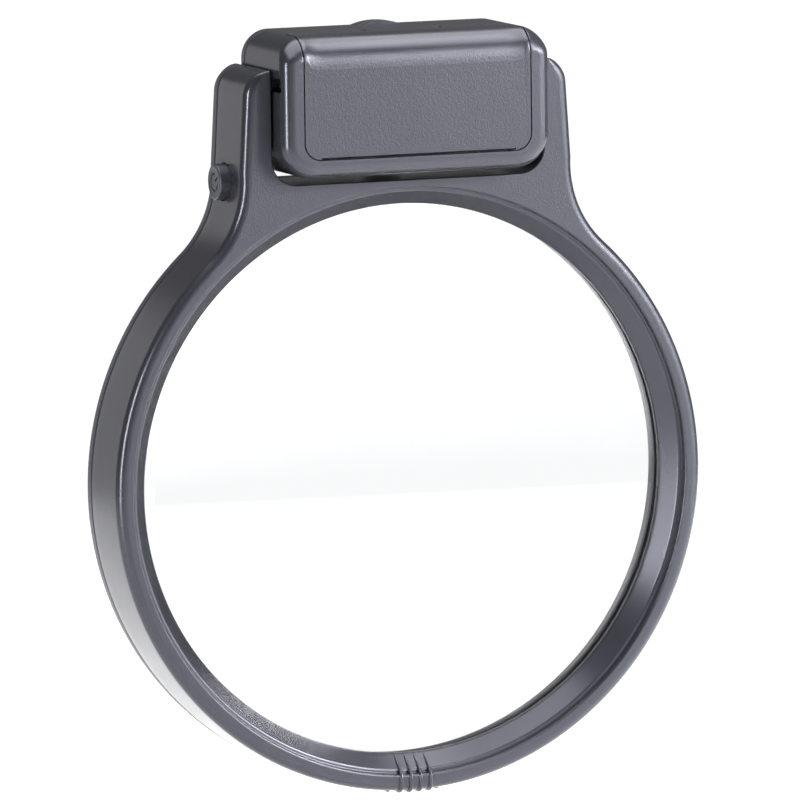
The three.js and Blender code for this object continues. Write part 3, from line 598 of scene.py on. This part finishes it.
def lens():
    """A lens curved on both faces, with a flat flange at its edge."""
    flange, rim, front, back, sag = 63.6, 65.1, -15.3, -12.3, 4.9
    steps = 28
    face = []
    rear = []
    for index in range(steps + 1):
        radius = flange * index / steps
        drop = sag * (1 - (radius / flange) ** 2)
        face.append((radius, front - drop))
        rear.append((radius, back + drop))
    edge = [(rim - 0.15, front), (rim, front + 0.15), (rim, back - 0.15), (rim - 0.15, back)]
    made = lathe("lens_body", face + edge + rear[::-1], 192, "Y", (0, 0, AXIS_Z))
    return smooth(made, 50)


def power_button():
    """A dished round button with a rounded edge, a collar inside and an engraved power symbol."""
    out = BUTTON_OUT
    edge, ease_r, steps = 3.7, 0.45, 6
    profile = [(0, out + 0.12), (3.05, out + 0.12), (3.25, out + 0.06), (3.4, out), (edge, out + 0.02)]
    for index in range(1, steps + 1):
        angle = math.pi / 2 * index / steps
        profile.append((edge + ease_r * math.sin(angle), out + 0.02 + ease_r * (1 - math.cos(angle))))
    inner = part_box("power_button")[1].x / MM
    profile += [(4.2, inner - 0.6), (5, inner - 0.6), (5, inner), (0, inner)]
    made = lathe("button_cap", profile, 72, "X", (0, BUTTON_Y, BUTTON_Z))

    def engrave(outline):
        placed = [(BUTTON_Y + u, BUTTON_Z + v) for u, v in outline]
        boolean(made, side_prism("cut", placed, out - 1, out + 0.4))

    symbol_r, half_line = 2, 0.25
    gap = math.radians(40)
    facing = math.radians(150)
    start, end = facing + gap, facing + TAU - gap
    engrave(arc(0, 0, symbol_r + half_line, start, end, 30) + arc(0, 0, symbol_r - half_line, end, start, 30))
    along = Vector((math.cos(facing), math.sin(facing)))
    across = Vector((-along.y, along.x)) * half_line
    near, far = along * 0.5, along * 2.5
    engrave([near - across, far - across, far + across, near + across])
    return smooth(made)


# ---- magnet box ----

def rounded_rect(x0, x1, z0, z1, low, high):
    """A rectangle's outline with round corners, of one radius below and another above."""
    steps = 16
    points = arc(x1 - low, z0 + low, low, -math.pi / 2, 0, steps)
    points += line(points[-1], (x1, z1 - high), 6)
    points += arc(x1 - high, z1 - high, high, 0, math.pi / 2, steps)
    points += line(points[-1], (x0 + high, z1), 40)
    points += arc(x0 + high, z1 - high, high, math.pi / 2, math.pi, steps)
    points += line(points[-1], (x0, z0 + low), 6)
    points += arc(x0 + low, z0 + low, low, math.pi, 1.5 * math.pi, steps)
    points += line(points[-1], (x1 - low, z0), 16)
    return points


def box_outline(inset=0):
    """The outline of the box from the front, drawn inward by an inset."""
    return rounded_rect(
        -BOX_HALF_W + inset, BOX_HALF_W - inset, -BOX_HALF_H + inset, BOX_HALF_H - inset,
        BOX_LOW_CORNER - inset, BOX_TOP_CORNER - inset,
    )


def edge_round(x, z):
    """The rounding of the box's front edge: large along the top, smaller below, least at the sides."""
    top = ease(z, BOX_HALF_H - BOX_TOP_CORNER, BOX_HALF_H - 0.4)
    inward = ease(BOX_HALF_W - abs(x), BOX_TOP_CORNER * 0.3, BOX_TOP_CORNER * 1.5)
    low = ease(-z, BOX_HALF_H - BOX_LOW_CORNER, BOX_HALF_H - 0.5)
    size = BOX_SIDE_ROUND + (BOX_LOW_ROUND - BOX_SIDE_ROUND) * low
    size += (BOX_TOP_CORNER - 0.6 - BOX_SIDE_ROUND) * top
    return size + (BOX_TOP_ROUND - BOX_TOP_CORNER + 0.6) * top * inward


def box_solid(name, offset, back):
    """The outer form of the box as a closed solid, drawn inward by an offset."""
    outline = box_outline()
    count = len(outline)
    normals = []
    for index in range(count):
        before = Vector(outline[index - 1])
        after = Vector(outline[(index + 1) % count])
        along = (after - before).normalized()
        normals.append(Vector((along.y, -along.x)))
    shell = Shell()

    def row(inset_of, y_of):
        points = []
        for (x, z), normal in zip(outline, normals):
            size = edge_round(x, z)
            place = Vector((x, z)) - normal * inset_of(size)
            points.append((place.x, y_of(size), place.y))
        return shell.row(points)

    front = BOX_FRONT + offset
    rows = [row(lambda size: offset, lambda size: y) for y in (back, BOX_SIDE_ROW)]
    steps = 12
    for index in range(steps + 1):
        angle = math.pi / 2 * index / steps
        rows.append(row(
            lambda size: offset + max(size - offset, BOX_LEAST_ROUND) * (1 - math.cos(angle)),
            lambda size: front + max(size - offset, BOX_LEAST_ROUND) * (1 - math.sin(angle)),
        ))
    rows.append(row(lambda size: max(size, offset + BOX_LEAST_ROUND) + 0.1, lambda size: front))
    return capped(name, shell, rows)


def door_prism(name, grow):
    """A cutter of the door's outline, which reaches past the front and the top of the box."""
    half = DOOR_HALF_W + grow
    low = DOOR_LOW - grow
    corner = DOOR_CORNER + grow
    outline = arc(half - corner, low + corner, corner, -math.pi / 2, 0, 14)
    outline += [(half, BOX_HALF_H + 5), (-half, BOX_HALF_H + 5)]
    outline += arc(-half + corner, low + corner, corner, math.pi, 1.5 * math.pi, 14)
    return prism(name, outline, DOOR_REAR + grow, BOX_FRONT - 6)


def door_bead(name, grow):
    """The round bead along the door's low edge, which it tips about."""
    half = DOOR_HALF_W - DOOR_CORNER + grow
    return bar(name, DOOR_BEAD_R + grow, -half, half, "X", (0, BEAD_Y, BEAD_Z), 40)


def trunnion_slot(name, side):
    """A cutter for the slot from the hinge hole to the front, ending in two round lobes."""
    low, high, front = 3.6, 6.9, -26.8
    middle = (low + high) / 2
    lobe = (high - low) / 4
    outline = [(PIVOT_Y, low), (PIVOT_Y, high)]
    outline += arc(front + lobe, high - lobe, lobe, math.pi / 2, 1.35 * math.pi, 10)
    outline += [(front + lobe + 0.6, middle)]
    outline += arc(front + lobe, low + lobe, lobe, 0.65 * math.pi, 1.5 * math.pi, 10)
    return side_prism(name, outline, side * (BOX_HALF_W + 2), side * (BOX_HALF_W - BOX_WALL - 1))


def thumb_notch(side, start, end):
    """A cutter for a thumb notch, between two distances from the door's rear edge."""
    x = side * NOTCH_X
    return block(
        "cut", (x - NOTCH_HALF_W, DOOR_REAR + start, BOX_HALF_H - NOTCH_DEPTH),
        (x + NOTCH_HALF_W, DOOR_REAR + end, BOX_HALF_H + 1),
    )


def box_housing():
    """The front shell of the box: a recess with a ledge for the door, hinge holes and notches."""
    made = box_solid("box_shell", 0, SHELL_RIM)
    boolean(made, box_solid("cut", BOX_WALL, SHELL_RIM + 2))
    recess = door_prism("recess", DOOR_GAP)
    boolean(recess, box_solid("cut", DOOR_THICK + 0.2, 0))
    boolean(made, recess)
    boolean(made, door_prism("cut", -DOOR_LEDGE))
    boolean(made, door_bead("cut", DOOR_GAP))
    for side in (-1, 1):
        outer, inner = side * (BOX_HALF_W + 1), side * (BOX_HALF_W - 3.2)
        boolean(made, bar("cut", TRUNNION_HOLE_R, outer, inner, "X", (0, PIVOT_Y, PIVOT_Z)))
        boolean(made, trunnion_slot("cut", side))
        boolean(made, thumb_notch(side, -1, 1.2))
    soften(made, 0.16, 2, 55)
    return smooth(made)


def battery_door():
    """The door: a curved plate with its bead, two thumb notches and two hooks at its rear edge."""
    made = box_solid("battery_door_shell", 0, 0)
    boolean(made, door_prism("cut", 0), "INTERSECT")
    boolean(made, box_solid("cut", DOOR_THICK, 0.5))
    straight = DOOR_HALF_W - DOOR_CORNER
    skin = 0.5
    for half, front in ((straight, BOX_FRONT - 1), (DOOR_HALF_W + 1, BOX_FRONT + skin)):
        boolean(made, block("cut", (-half, front, DOOR_LOW - 1), (half, BOX_FRONT + 4, BEAD_Z)))
    boolean(made, door_bead("bead", 0), "UNION")
    for side in (-1, 1):
        boolean(made, thumb_notch(side, -0.9, 1))
        x = side * HOOK_X
        under = BOX_HALF_H - DOOR_THICK
        hook = block(
            "hook", (x - HOOK_HALF_W, DOOR_REAR - 3, under - 2.4),
            (x + HOOK_HALF_W, DOOR_REAR - 2, under + 0.3),
        )
        boolean(made, hook, "UNION")
    soften(made, 0.16, 2, 55)
    return smooth(made)


def box_cover():
    """The rear shell of the box, with the round boss that holds the magnet and its pad."""
    shell = Shell()

    def outline_row(inset, y):
        return shell.row((x, y, z) for x, z in box_outline(inset))

    outside = rim(COVER_RIM, 1) + rounding(REAR_ROUND, COVER_RIM, BACK_FACE)
    made = capped("box_cover_shell", shell, [outline_row(inset, y) for inset, y in outside])
    boolean(made, prism("cut", box_outline(BOX_WALL), COVER_INNER, COVER_RIM - 1))
    boss = [
        (0, BOSS_FACE), (BOSS_R - 0.8, BOSS_FACE), (BOSS_R - 0.25, BOSS_FACE - 0.25),
        (BOSS_R, BOSS_FACE - 0.8), (BOSS_R, COVER_RIM), (0, COVER_RIM),
    ]
    boolean(made, lathe("boss", boss, 128), "UNION")
    boolean(made, bar("cut", PAD_R + 0.3, 1, -PAD_THICK - 0.1, "Y", (0, 0, 0), 128))
    boolean(made, bar("cut", MAGNET_R + 0.3, -1.6, COVER_RIM - 1, "Y", (0, 0, 0), 128))
    screw_holes(made, "box_screw")
    soften(made, 0.12, 2, 50)
    return smooth(made)


def glass_pad():
    """The round pad that meets the glass, with an eased edge."""
    profile = [
        (0, 0), (PAD_R - 0.35, 0), (PAD_R - 0.1, -0.1), (PAD_R, -0.35), (PAD_R, -PAD_THICK), (0, -PAD_THICK),
    ]
    return smooth(lathe("pad_disc", profile, 128), 50)


def screw(name, node):
    """A screw with a domed head and a cross recess, where its CAD node is."""
    place = centre(node)
    low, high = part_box(node)
    back = high.y / MM
    tip = low.y / MM
    head_r, shank_r, under = 1.4, 0.8, back - 1.1
    profile = [
        (0, back), (0.7, back - 0.02), (1.1, back - 0.12), (1.34, back - 0.34), (head_r, back - 0.6),
        (head_r, under), (shank_r, under), (shank_r, tip + 1), (0.1, tip), (0, tip),
    ]
    made = lathe(name, profile, 40, "Y", (place.x, 0, place.z))
    long, short, deep = 0.85, 0.2, 0.55
    for half_x, half_z in ((long, short), (short, long)):
        low_corner = (place.x - half_x, back - deep, place.z - half_z)
        high_corner = (place.x + half_x, back + 1, place.z + half_z)
        boolean(made, block("cut", low_corner, high_corner))
    return smooth(made, 35)


# ---- cells and contacts ----

def cell(name, node, turn):
    """A cell with its sleeve, crimped shoulders, cap and nub, drawn end to end along X."""
    place = centre(node)
    low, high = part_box(node)
    half = (high.x - low.x) / 2 / MM
    profile = [
        (0, -half), (3.2, -half), (3.6, -half + 0.15), (4.4, -half + 0.15), (4.9, -half + 0.35),
        (CELL_R, -half + 0.9), (CELL_R, half - 1.9), (4.9, half - 1.35), (4.3, half - 1.2),
        (2.3, half - 1.15), (1.95, half - 0.95), (1.9, half - 0.25), (1.65, half), (0, half),
    ]
    return smooth(lathe(name, [(radius, turn * along) for radius, along in profile], 64, "X", place), 30)


def spring(name, node, end):
    """A conical contact spring of three turns, widest at one end of its CAD node."""
    place = centre(node)
    low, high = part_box(node)
    wire_r, wide_r, taper = 0.25, 3.25, 1.2
    wide, narrow = (low.x, high.x) if end < 0 else (high.x, low.x)
    start = wide / MM - end * wire_r
    finish = narrow / MM + end * wire_r
    turns = 3
    steps = turns * 32
    points = []
    for index in range(steps + 1):
        share = index / steps
        angle = TAU * turns * share
        radius = wide_r - taper * share
        points.append((start + (finish - start) * share, place.y + radius * math.cos(angle),
                       place.z + radius * math.sin(angle)))
    return smooth(tube(name, points, [wire_r] * len(points), 10), 60, False)


# ---- materials ----

class Look:
    """A material's nodes, with short calls for the few kinds it needs."""

    def __init__(self, name, color, roughness, metallic=0.0):
        self.material = bpy.data.materials.new(name)
        self.material.use_nodes = True
        self.tree = self.material.node_tree
        self.shader = self.tree.nodes["Principled BSDF"]
        self.color = color
        self.shader.inputs["Base Color"].default_value = (*color, 1)
        self.shader.inputs["Roughness"].default_value = roughness
        self.shader.inputs["Metallic"].default_value = metallic
        self.place = self.tree.nodes.new("ShaderNodeTexCoord")

    def set(self, **values):
        for name, value in values.items():
            self.shader.inputs[name.replace("_", " ")].default_value = value
        return self

    def link(self, source, target):
        self.tree.links.new(source, target)

    def noise(self, scale, detail=2.0, rough=0.5, kind="noise", stretch=None):
        nodes = self.tree.nodes
        texture = nodes.new("ShaderNodeTexNoise" if kind == "noise" else "ShaderNodeTexVoronoi")
        texture.inputs["Scale"].default_value = scale
        texture.inputs["Detail"].default_value = detail
        texture.inputs["Roughness"].default_value = rough
        source = self.place.outputs["Object"]
        if stretch:
            mapping = nodes.new("ShaderNodeMapping")
            mapping.inputs["Scale"].default_value = stretch
            self.link(source, mapping.inputs["Vector"])
            source = mapping.outputs["Vector"]
        self.link(source, texture.inputs["Vector"])
        return texture.outputs["Fac" if kind == "noise" else "Distance"]

    def fit(self, source, low, high, to_low, to_high):
        node = self.tree.nodes.new("ShaderNodeMapRange")
        for socket, value in zip(("From Min", "From Max", "To Min", "To Max"), (low, high, to_low, to_high)):
            node.inputs[socket].default_value = value
        self.link(source, node.inputs["Value"])
        return node.outputs["Result"]

    def math(self, operation, first, second):
        node = self.tree.nodes.new("ShaderNodeMath")
        node.operation = operation
        for socket, value in zip(node.inputs, (first, second)):
            if isinstance(value, (int, float)):
                socket.default_value = value
            else:
                self.link(value, socket)
        return node.outputs["Value"]

    def front_mask(self, low, high):
        """1 where the surface faces the viewer's side of the part, 0 on its sides."""
        split = self.tree.nodes.new("ShaderNodeSeparateXYZ")
        self.link(self.place.outputs["Normal"], split.inputs["Vector"])
        facing = self.math("MULTIPLY", split.outputs["Y"], -1.0)
        return self.fit(facing, low, high, 0.0, 1.0)

    def mix_colors(self, factor, first, second):
        """Base colour from the first colour at 0 to the second at 1."""
        mix = self.tree.nodes.new("ShaderNodeMix")
        mix.data_type = "RGBA"
        colors = [socket for socket in mix.inputs if socket.type == "RGBA"]
        colors[0].default_value = (*first, 1)
        colors[1].default_value = (*second, 1)
        self.link(factor, mix.inputs["Factor"])
        output = next(socket for socket in mix.outputs if socket.type == "RGBA")
        self.link(output, self.shader.inputs["Base Color"])

    def tint(self, factor, dark, light):
        """Base colour from a darker to a lighter shade of the look's own colour."""
        self.mix_colors(factor, [channel * dark for channel in self.color],
                        [channel * light for channel in self.color])

    def rough(self, factor, low, high):
        """Roughness between two values, by a noise."""
        self.link(self.fit(factor, 0.3, 0.7, low, high), self.shader.inputs["Roughness"])

    def bump(self, height, distance, strength=1.0, below=None):
        """Relief of a depth in metres, which may lie on top of a coarser one."""
        node = self.tree.nodes.new("ShaderNodeBump")
        node.inputs["Distance"].default_value = distance
        node.inputs["Strength"].default_value = strength
        self.link(height, node.inputs["Height"])
        if below:
            self.link(below, node.inputs["Normal"])
        self.link(node.outputs["Normal"], self.shader.inputs["Normal"])
        return node.outputs["Normal"]


PLASTIC_SHEEN = (0.84, 0.855, 1.0, 1.0)


def shell_look(name, mask_low, mask_high, color=(0.014, 0.0143, 0.018)):
    """Black moulding: fine spark-eroded grain on its front faces, satin on its sides."""
    look = Look(name, color, 0.34)
    look.set(IOR=1.5, Specular_Tint=PLASTIC_SHEEN)
    mask = look.front_mask(mask_low, mask_high)
    grain = look.noise(2800, 3.0, 0.62)
    cloud = look.noise(38, 3.0, 0.5)
    look.tint(cloud, 0.86, 1.14)
    satin = look.fit(cloud, 0.3, 0.7, 0.21, 0.28)
    grained = look.fit(grain, 0.3, 0.7, 0.34, 0.5)
    mixed = look.tree.nodes.new("ShaderNodeMix")
    mixed.data_type = "FLOAT"
    look.link(mask, mixed.inputs["Factor"])
    look.link(satin, mixed.inputs["A"])
    look.link(grained, mixed.inputs["B"])
    look.link(mixed.outputs["Result"], look.shader.inputs["Roughness"])
    flow = look.bump(look.noise(420, 2.0, 0.5), 0.000004, 0.5)
    look.bump(look.math("MULTIPLY", grain, mask), 0.00008, 1.0, flow)
    return look.material


def simple_look(name, color, roughness, metallic=0.0, scale=300, height=0.00001, spread=0.06,
                stretch=None, **extra):
    """A material of one colour with slight changes of shade, roughness and relief."""
    look = Look(name, color, roughness, metallic).set(**extra)
    texture = look.noise(scale, 3.0, 0.55, stretch=stretch)
    look.tint(look.noise(scale / 6, 2.0), 0.88, 1.12)
    look.rough(texture, max(roughness - spread, 0.02), roughness + spread)
    look.bump(texture, height, 0.6)
    return look.material


def lens_look():
    """Clear acrylic with faint smears."""
    look = Look("clear_acrylic", (0.93, 0.94, 0.945), 0.0)
    look.set(IOR=1.49, Transmission_Weight=1.0)
    smear = look.noise(60, 2.0, 0.5)
    look.link(look.fit(smear, 0.45, 0.8, 0.0, 0.03), look.shader.inputs["Roughness"])
    return look.material


def pad_look():
    """Black foam rubber with a pebbled face."""
    look = Look("pad_rubber", (0.022, 0.022, 0.024), 0.75)
    weave = look.noise(900, 1.0, kind="voronoi")
    look.tint(look.noise(120), 0.8, 1.25)
    look.rough(look.noise(700), 0.66, 0.84)
    look.bump(weave, 0.0002, 0.8)
    return look.material


def cell_look():
    """A plain sleeve with bare metal ends, told apart by the distance from the cell's middle."""
    look = Look("cell_sleeve", (0.10, 0.16, 0.24), 0.28)
    split = look.tree.nodes.new("ShaderNodeSeparateXYZ")
    look.link(look.place.outputs["Object"], split.inputs["Vector"])
    away = look.math("ABSOLUTE", split.outputs["X"], 0.0)
    covered = look.math("LESS_THAN", away, SLEEVE_HALF * MM)
    look.mix_colors(covered, (0.62, 0.62, 0.6), look.color)
    look.link(look.math("SUBTRACT", 1.0, covered), look.shader.inputs["Metallic"])
    look.rough(look.noise(1400, 2.0), 0.22, 0.34)
    look.bump(look.noise(500, 2.0), 0.00001, 0.5)
    return look.material


frame_plastic = shell_look("frame_plastic", 0.9, 0.985)
box_plastic = shell_look("box_plastic", 0.86, 0.985)
cover_plastic = simple_look(
    "cover_plastic", (0.020, 0.0205, 0.025), 0.34, scale=1800, height=0.00003, Specular_Tint=PLASTIC_SHEEN,
)
inner_plastic = simple_look(
    "inner_plastic", (0.018, 0.018, 0.021), 0.5, scale=900, height=0.00002, Specular_Tint=PLASTIC_SHEEN,
)
button_plastic = simple_look(
    "button_plastic", (0.021, 0.0215, 0.026), 0.38, scale=1500, height=0.00002, Specular_Tint=PLASTIC_SHEEN,
)
steel = simple_look("steel", (0.5, 0.51, 0.53), 0.3, 1.0, 500, 0.000006, stretch=(1, 12, 1))
zinc = simple_look("zinc_screw", (0.46, 0.46, 0.47), 0.28, 1.0, 900, 0.000006)
nickel = simple_look("nickel", (0.66, 0.65, 0.62), 0.2, 1.0, 700, 0.000004, 0.05)
board = simple_look("board_green", (0.014, 0.11, 0.05), 0.35, scale=800)
phosphor = simple_look("lamp_phosphor", (0.85, 0.68, 0.2), 0.3, scale=600)
red_lead = simple_look("red_lead", (0.35, 0.02, 0.015), 0.4, scale=900)
black_lead = simple_look("black_lead", (0.02, 0.02, 0.022), 0.45, scale=900)
gasket_rubber = simple_look("gasket_rubber", (0.02, 0.02, 0.022), 0.7, scale=900)
diffuser = simple_look(
    "diffuser", (0.78, 0.82, 0.82), 0.45, scale=1400, Transmission_Weight=0.35, IOR=1.49,
)
clear = lens_look()
pad_rubber = pad_look()
sleeve = cell_look()


# ---- assembly ----

def place(piece, body, node, slot, material):
    """Gives a made piece its material and its body, and hides the CAD node it stands for. Its slot is not
    used.
    """
    piece.data.materials.clear()
    piece.data.materials.append(material)
    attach(piece, body)
    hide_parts(node)
    return piece


place(front_frame(), "lens_frame", "front_frame", "shell", frame_plastic)
place(rear_cover(), "lens_frame", "rear_cover", "shell", cover_plastic)
place(lens(), "lens_frame", "lens", "lens", clear)
place(power_button(), "power_button", "power_button", "button", button_plastic)
place(box_housing(), "magnet_box", "box_housing", "shell", box_plastic)
place(box_cover(), "magnet_box", "box_back_cover", "shell", cover_plastic)
place(battery_door(), "battery_door", "battery_door", "shell", box_plastic)
place(glass_pad(), "magnet_box", "glass_pad", "pad", pad_rubber)
for turn, which in ((1, "upper"), (-1, "lower")):
    cell_node, spring_node = f"cell_{which}", f"contact_spring_{which}"
    place(cell(f"cell_body_{which}", cell_node, turn), "magnet_box", cell_node, "cell", sleeve)
    place(spring(f"coil_{which}", spring_node, -turn), "magnet_box", spring_node, "contact", nickel)
for number in range(1, 5):
    for kind, body in (("box_screw", "magnet_box"), ("cover_screw", "lens_frame")):
        node = f"{kind}_{number}"
        place(screw(f"{kind}_head_{number}", node), body, node, "screw", zinc)
for side, which in ((-1, "left"), (1, "right")):
    window = prism(f"lamp_cover_{which}", lamp_arc(side, -0.15), BACK_FACE - 0.3, COVER_RIM + 0.4)
    place(smooth(soften(window, 0.25, 3)), "lens_frame", f"lamp_window_{which}", "diffuser", diffuser)

by_slot = {
    "shell": box_plastic, "inner": inner_plastic, "button": button_plastic, "lens": clear,
    "gasket": gasket_rubber, "pad": pad_rubber, "diffuser": diffuser,
    "steel": steel, "magnet": nickel, "contact": nickel, "screw": zinc, "cell": sleeve,
    "board": board, "lamp": phosphor, "lead_red": red_lead, "lead_black": black_lead,
}
for entry in frame["record"]["subparts"]:
    node = frame["nodes"][entry["node"]]
    for material_slot in node.material_slots:
        material_slot.material = by_slot[entry["material_slot"]]


# ---- stage ----

FLOOR_R = 900
FLOOR_DROP = 60
BACKGROUND = 1.05
SURROUND = 0.16
MIDDLE = (0, 0, AXIS_Z * MM * 0.6)

# each lamp's name, place, width and height in metres, power in watts, and the point that it faces
LAMPS = [
    ("edge_left", (-1.1, -0.5, 0.0), (0.09, 0.9), 18, MIDDLE),
    ("edge_right", (1.1, -0.42, 0.05), (0.10, 1.0), 8, MIDDLE),
    ("top", (0.36, -0.10, 0.9), (0.5, 0.14), 1.1, MIDDLE),
    ("front_right", (0.45, -0.44, 0.24), (0.26, 0.32), 15.0, (0.07, 0, 0.04)),
    ("side_back", (-0.42, 1.0, -0.15), (0.5, 0.9), 0.85, (-0.07, 0, -0.08)),
    ("ceiling", (0.0, 0.1, 1.9), (2.2, 2.2), 76, (0.0, 0.1, -1)),
]


def floor():
    """A round pale floor a little below the part."""
    level = cad_box[0][2] / MM - FLOOR_DROP
    shell = Shell()
    shell.cap(shell.row((x, y, level) for x, y in circle(FLOOR_R, 128)))
    made = shell.object("floor")
    paper = Look("paper", (0.93, 0.93, 0.93), 0.9)
    paper.tint(paper.noise(3, 2.0), 0.995, 1.0)
    made.data.materials.append(paper.material)


def softbox(name, place, size, power, target):
    """A rectangular lamp that faces a point."""
    data = bpy.data.lights.new(name, "AREA")
    data.shape = "RECTANGLE"
    data.size = size[0]
    data.size_y = size[1]
    data.energy = power
    made = bpy.data.objects.new(name, data)
    made.location = place
    made.rotation_euler = (Vector(target) - Vector(place)).to_track_quat("-Z", "Y").to_euler()
    bpy.context.scene.collection.objects.link(made)


def camera():
    """The camera, turned about a point near the middle of the part."""
    azimuth, elevation, roll = math.radians(-21.53), math.radians(7.12), math.radians(-0.72)
    distance = 2.5
    target = Vector((5.18, 0, AXIS_Z + 15.23)) * MM
    level = math.cos(elevation)
    back = Vector((math.sin(azimuth) * level, -math.cos(azimuth) * level, math.sin(elevation)))
    right = Vector((math.cos(azimuth), math.sin(azimuth), 0))
    up = back.cross(right)
    tilted_right = right * math.cos(roll) + up * math.sin(roll)
    tilted_up = up * math.cos(roll) - right * math.sin(roll)
    turn = Matrix((tilted_right, tilted_up, back)).transposed().to_4x4()
    data = bpy.data.cameras.new("camera")
    data.lens = 482.84
    data.sensor_width = 36
    data.clip_start = 0.01
    data.clip_end = 50
    made = bpy.data.objects.new("camera", data)
    made.matrix_world = Matrix.Translation(target + back * distance) @ turn
    bpy.context.scene.collection.objects.link(made)
    bpy.context.scene.camera = made


def world():
    """A white surround, seen dimmed in the part's own shading so that the lamps shape it."""
    made = bpy.data.worlds.new("studio")
    made.use_nodes = True
    tree = made.node_tree
    white = tree.nodes["Background"]
    dim = tree.nodes.new("ShaderNodeBackground")
    for background, strength in ((white, BACKGROUND), (dim, SURROUND)):
        background.inputs["Color"].default_value = (1, 1, 1, 1)
        background.inputs["Strength"].default_value = strength
    path = tree.nodes.new("ShaderNodeLightPath")
    seen = tree.nodes.new("ShaderNodeMath")
    seen.operation = "MAXIMUM"
    tree.links.new(path.outputs["Is Camera Ray"], seen.inputs[0])
    tree.links.new(path.outputs["Is Transmission Ray"], seen.inputs[1])
    mix = tree.nodes.new("ShaderNodeMixShader")
    tree.links.new(seen.outputs["Value"], mix.inputs["Fac"])
    tree.links.new(dim.outputs["Background"], mix.inputs[1])
    tree.links.new(white.outputs["Background"], mix.inputs[2])
    output = next(node for node in tree.nodes if node.type == "OUTPUT_WORLD")
    tree.links.new(mix.outputs["Shader"], output.inputs["Surface"])
    bpy.context.scene.world = made


camera()
world()
floor()
for lamp in LAMPS:
    softbox(*lamp)
bpy.context.scene.view_settings.view_transform = "Standard"
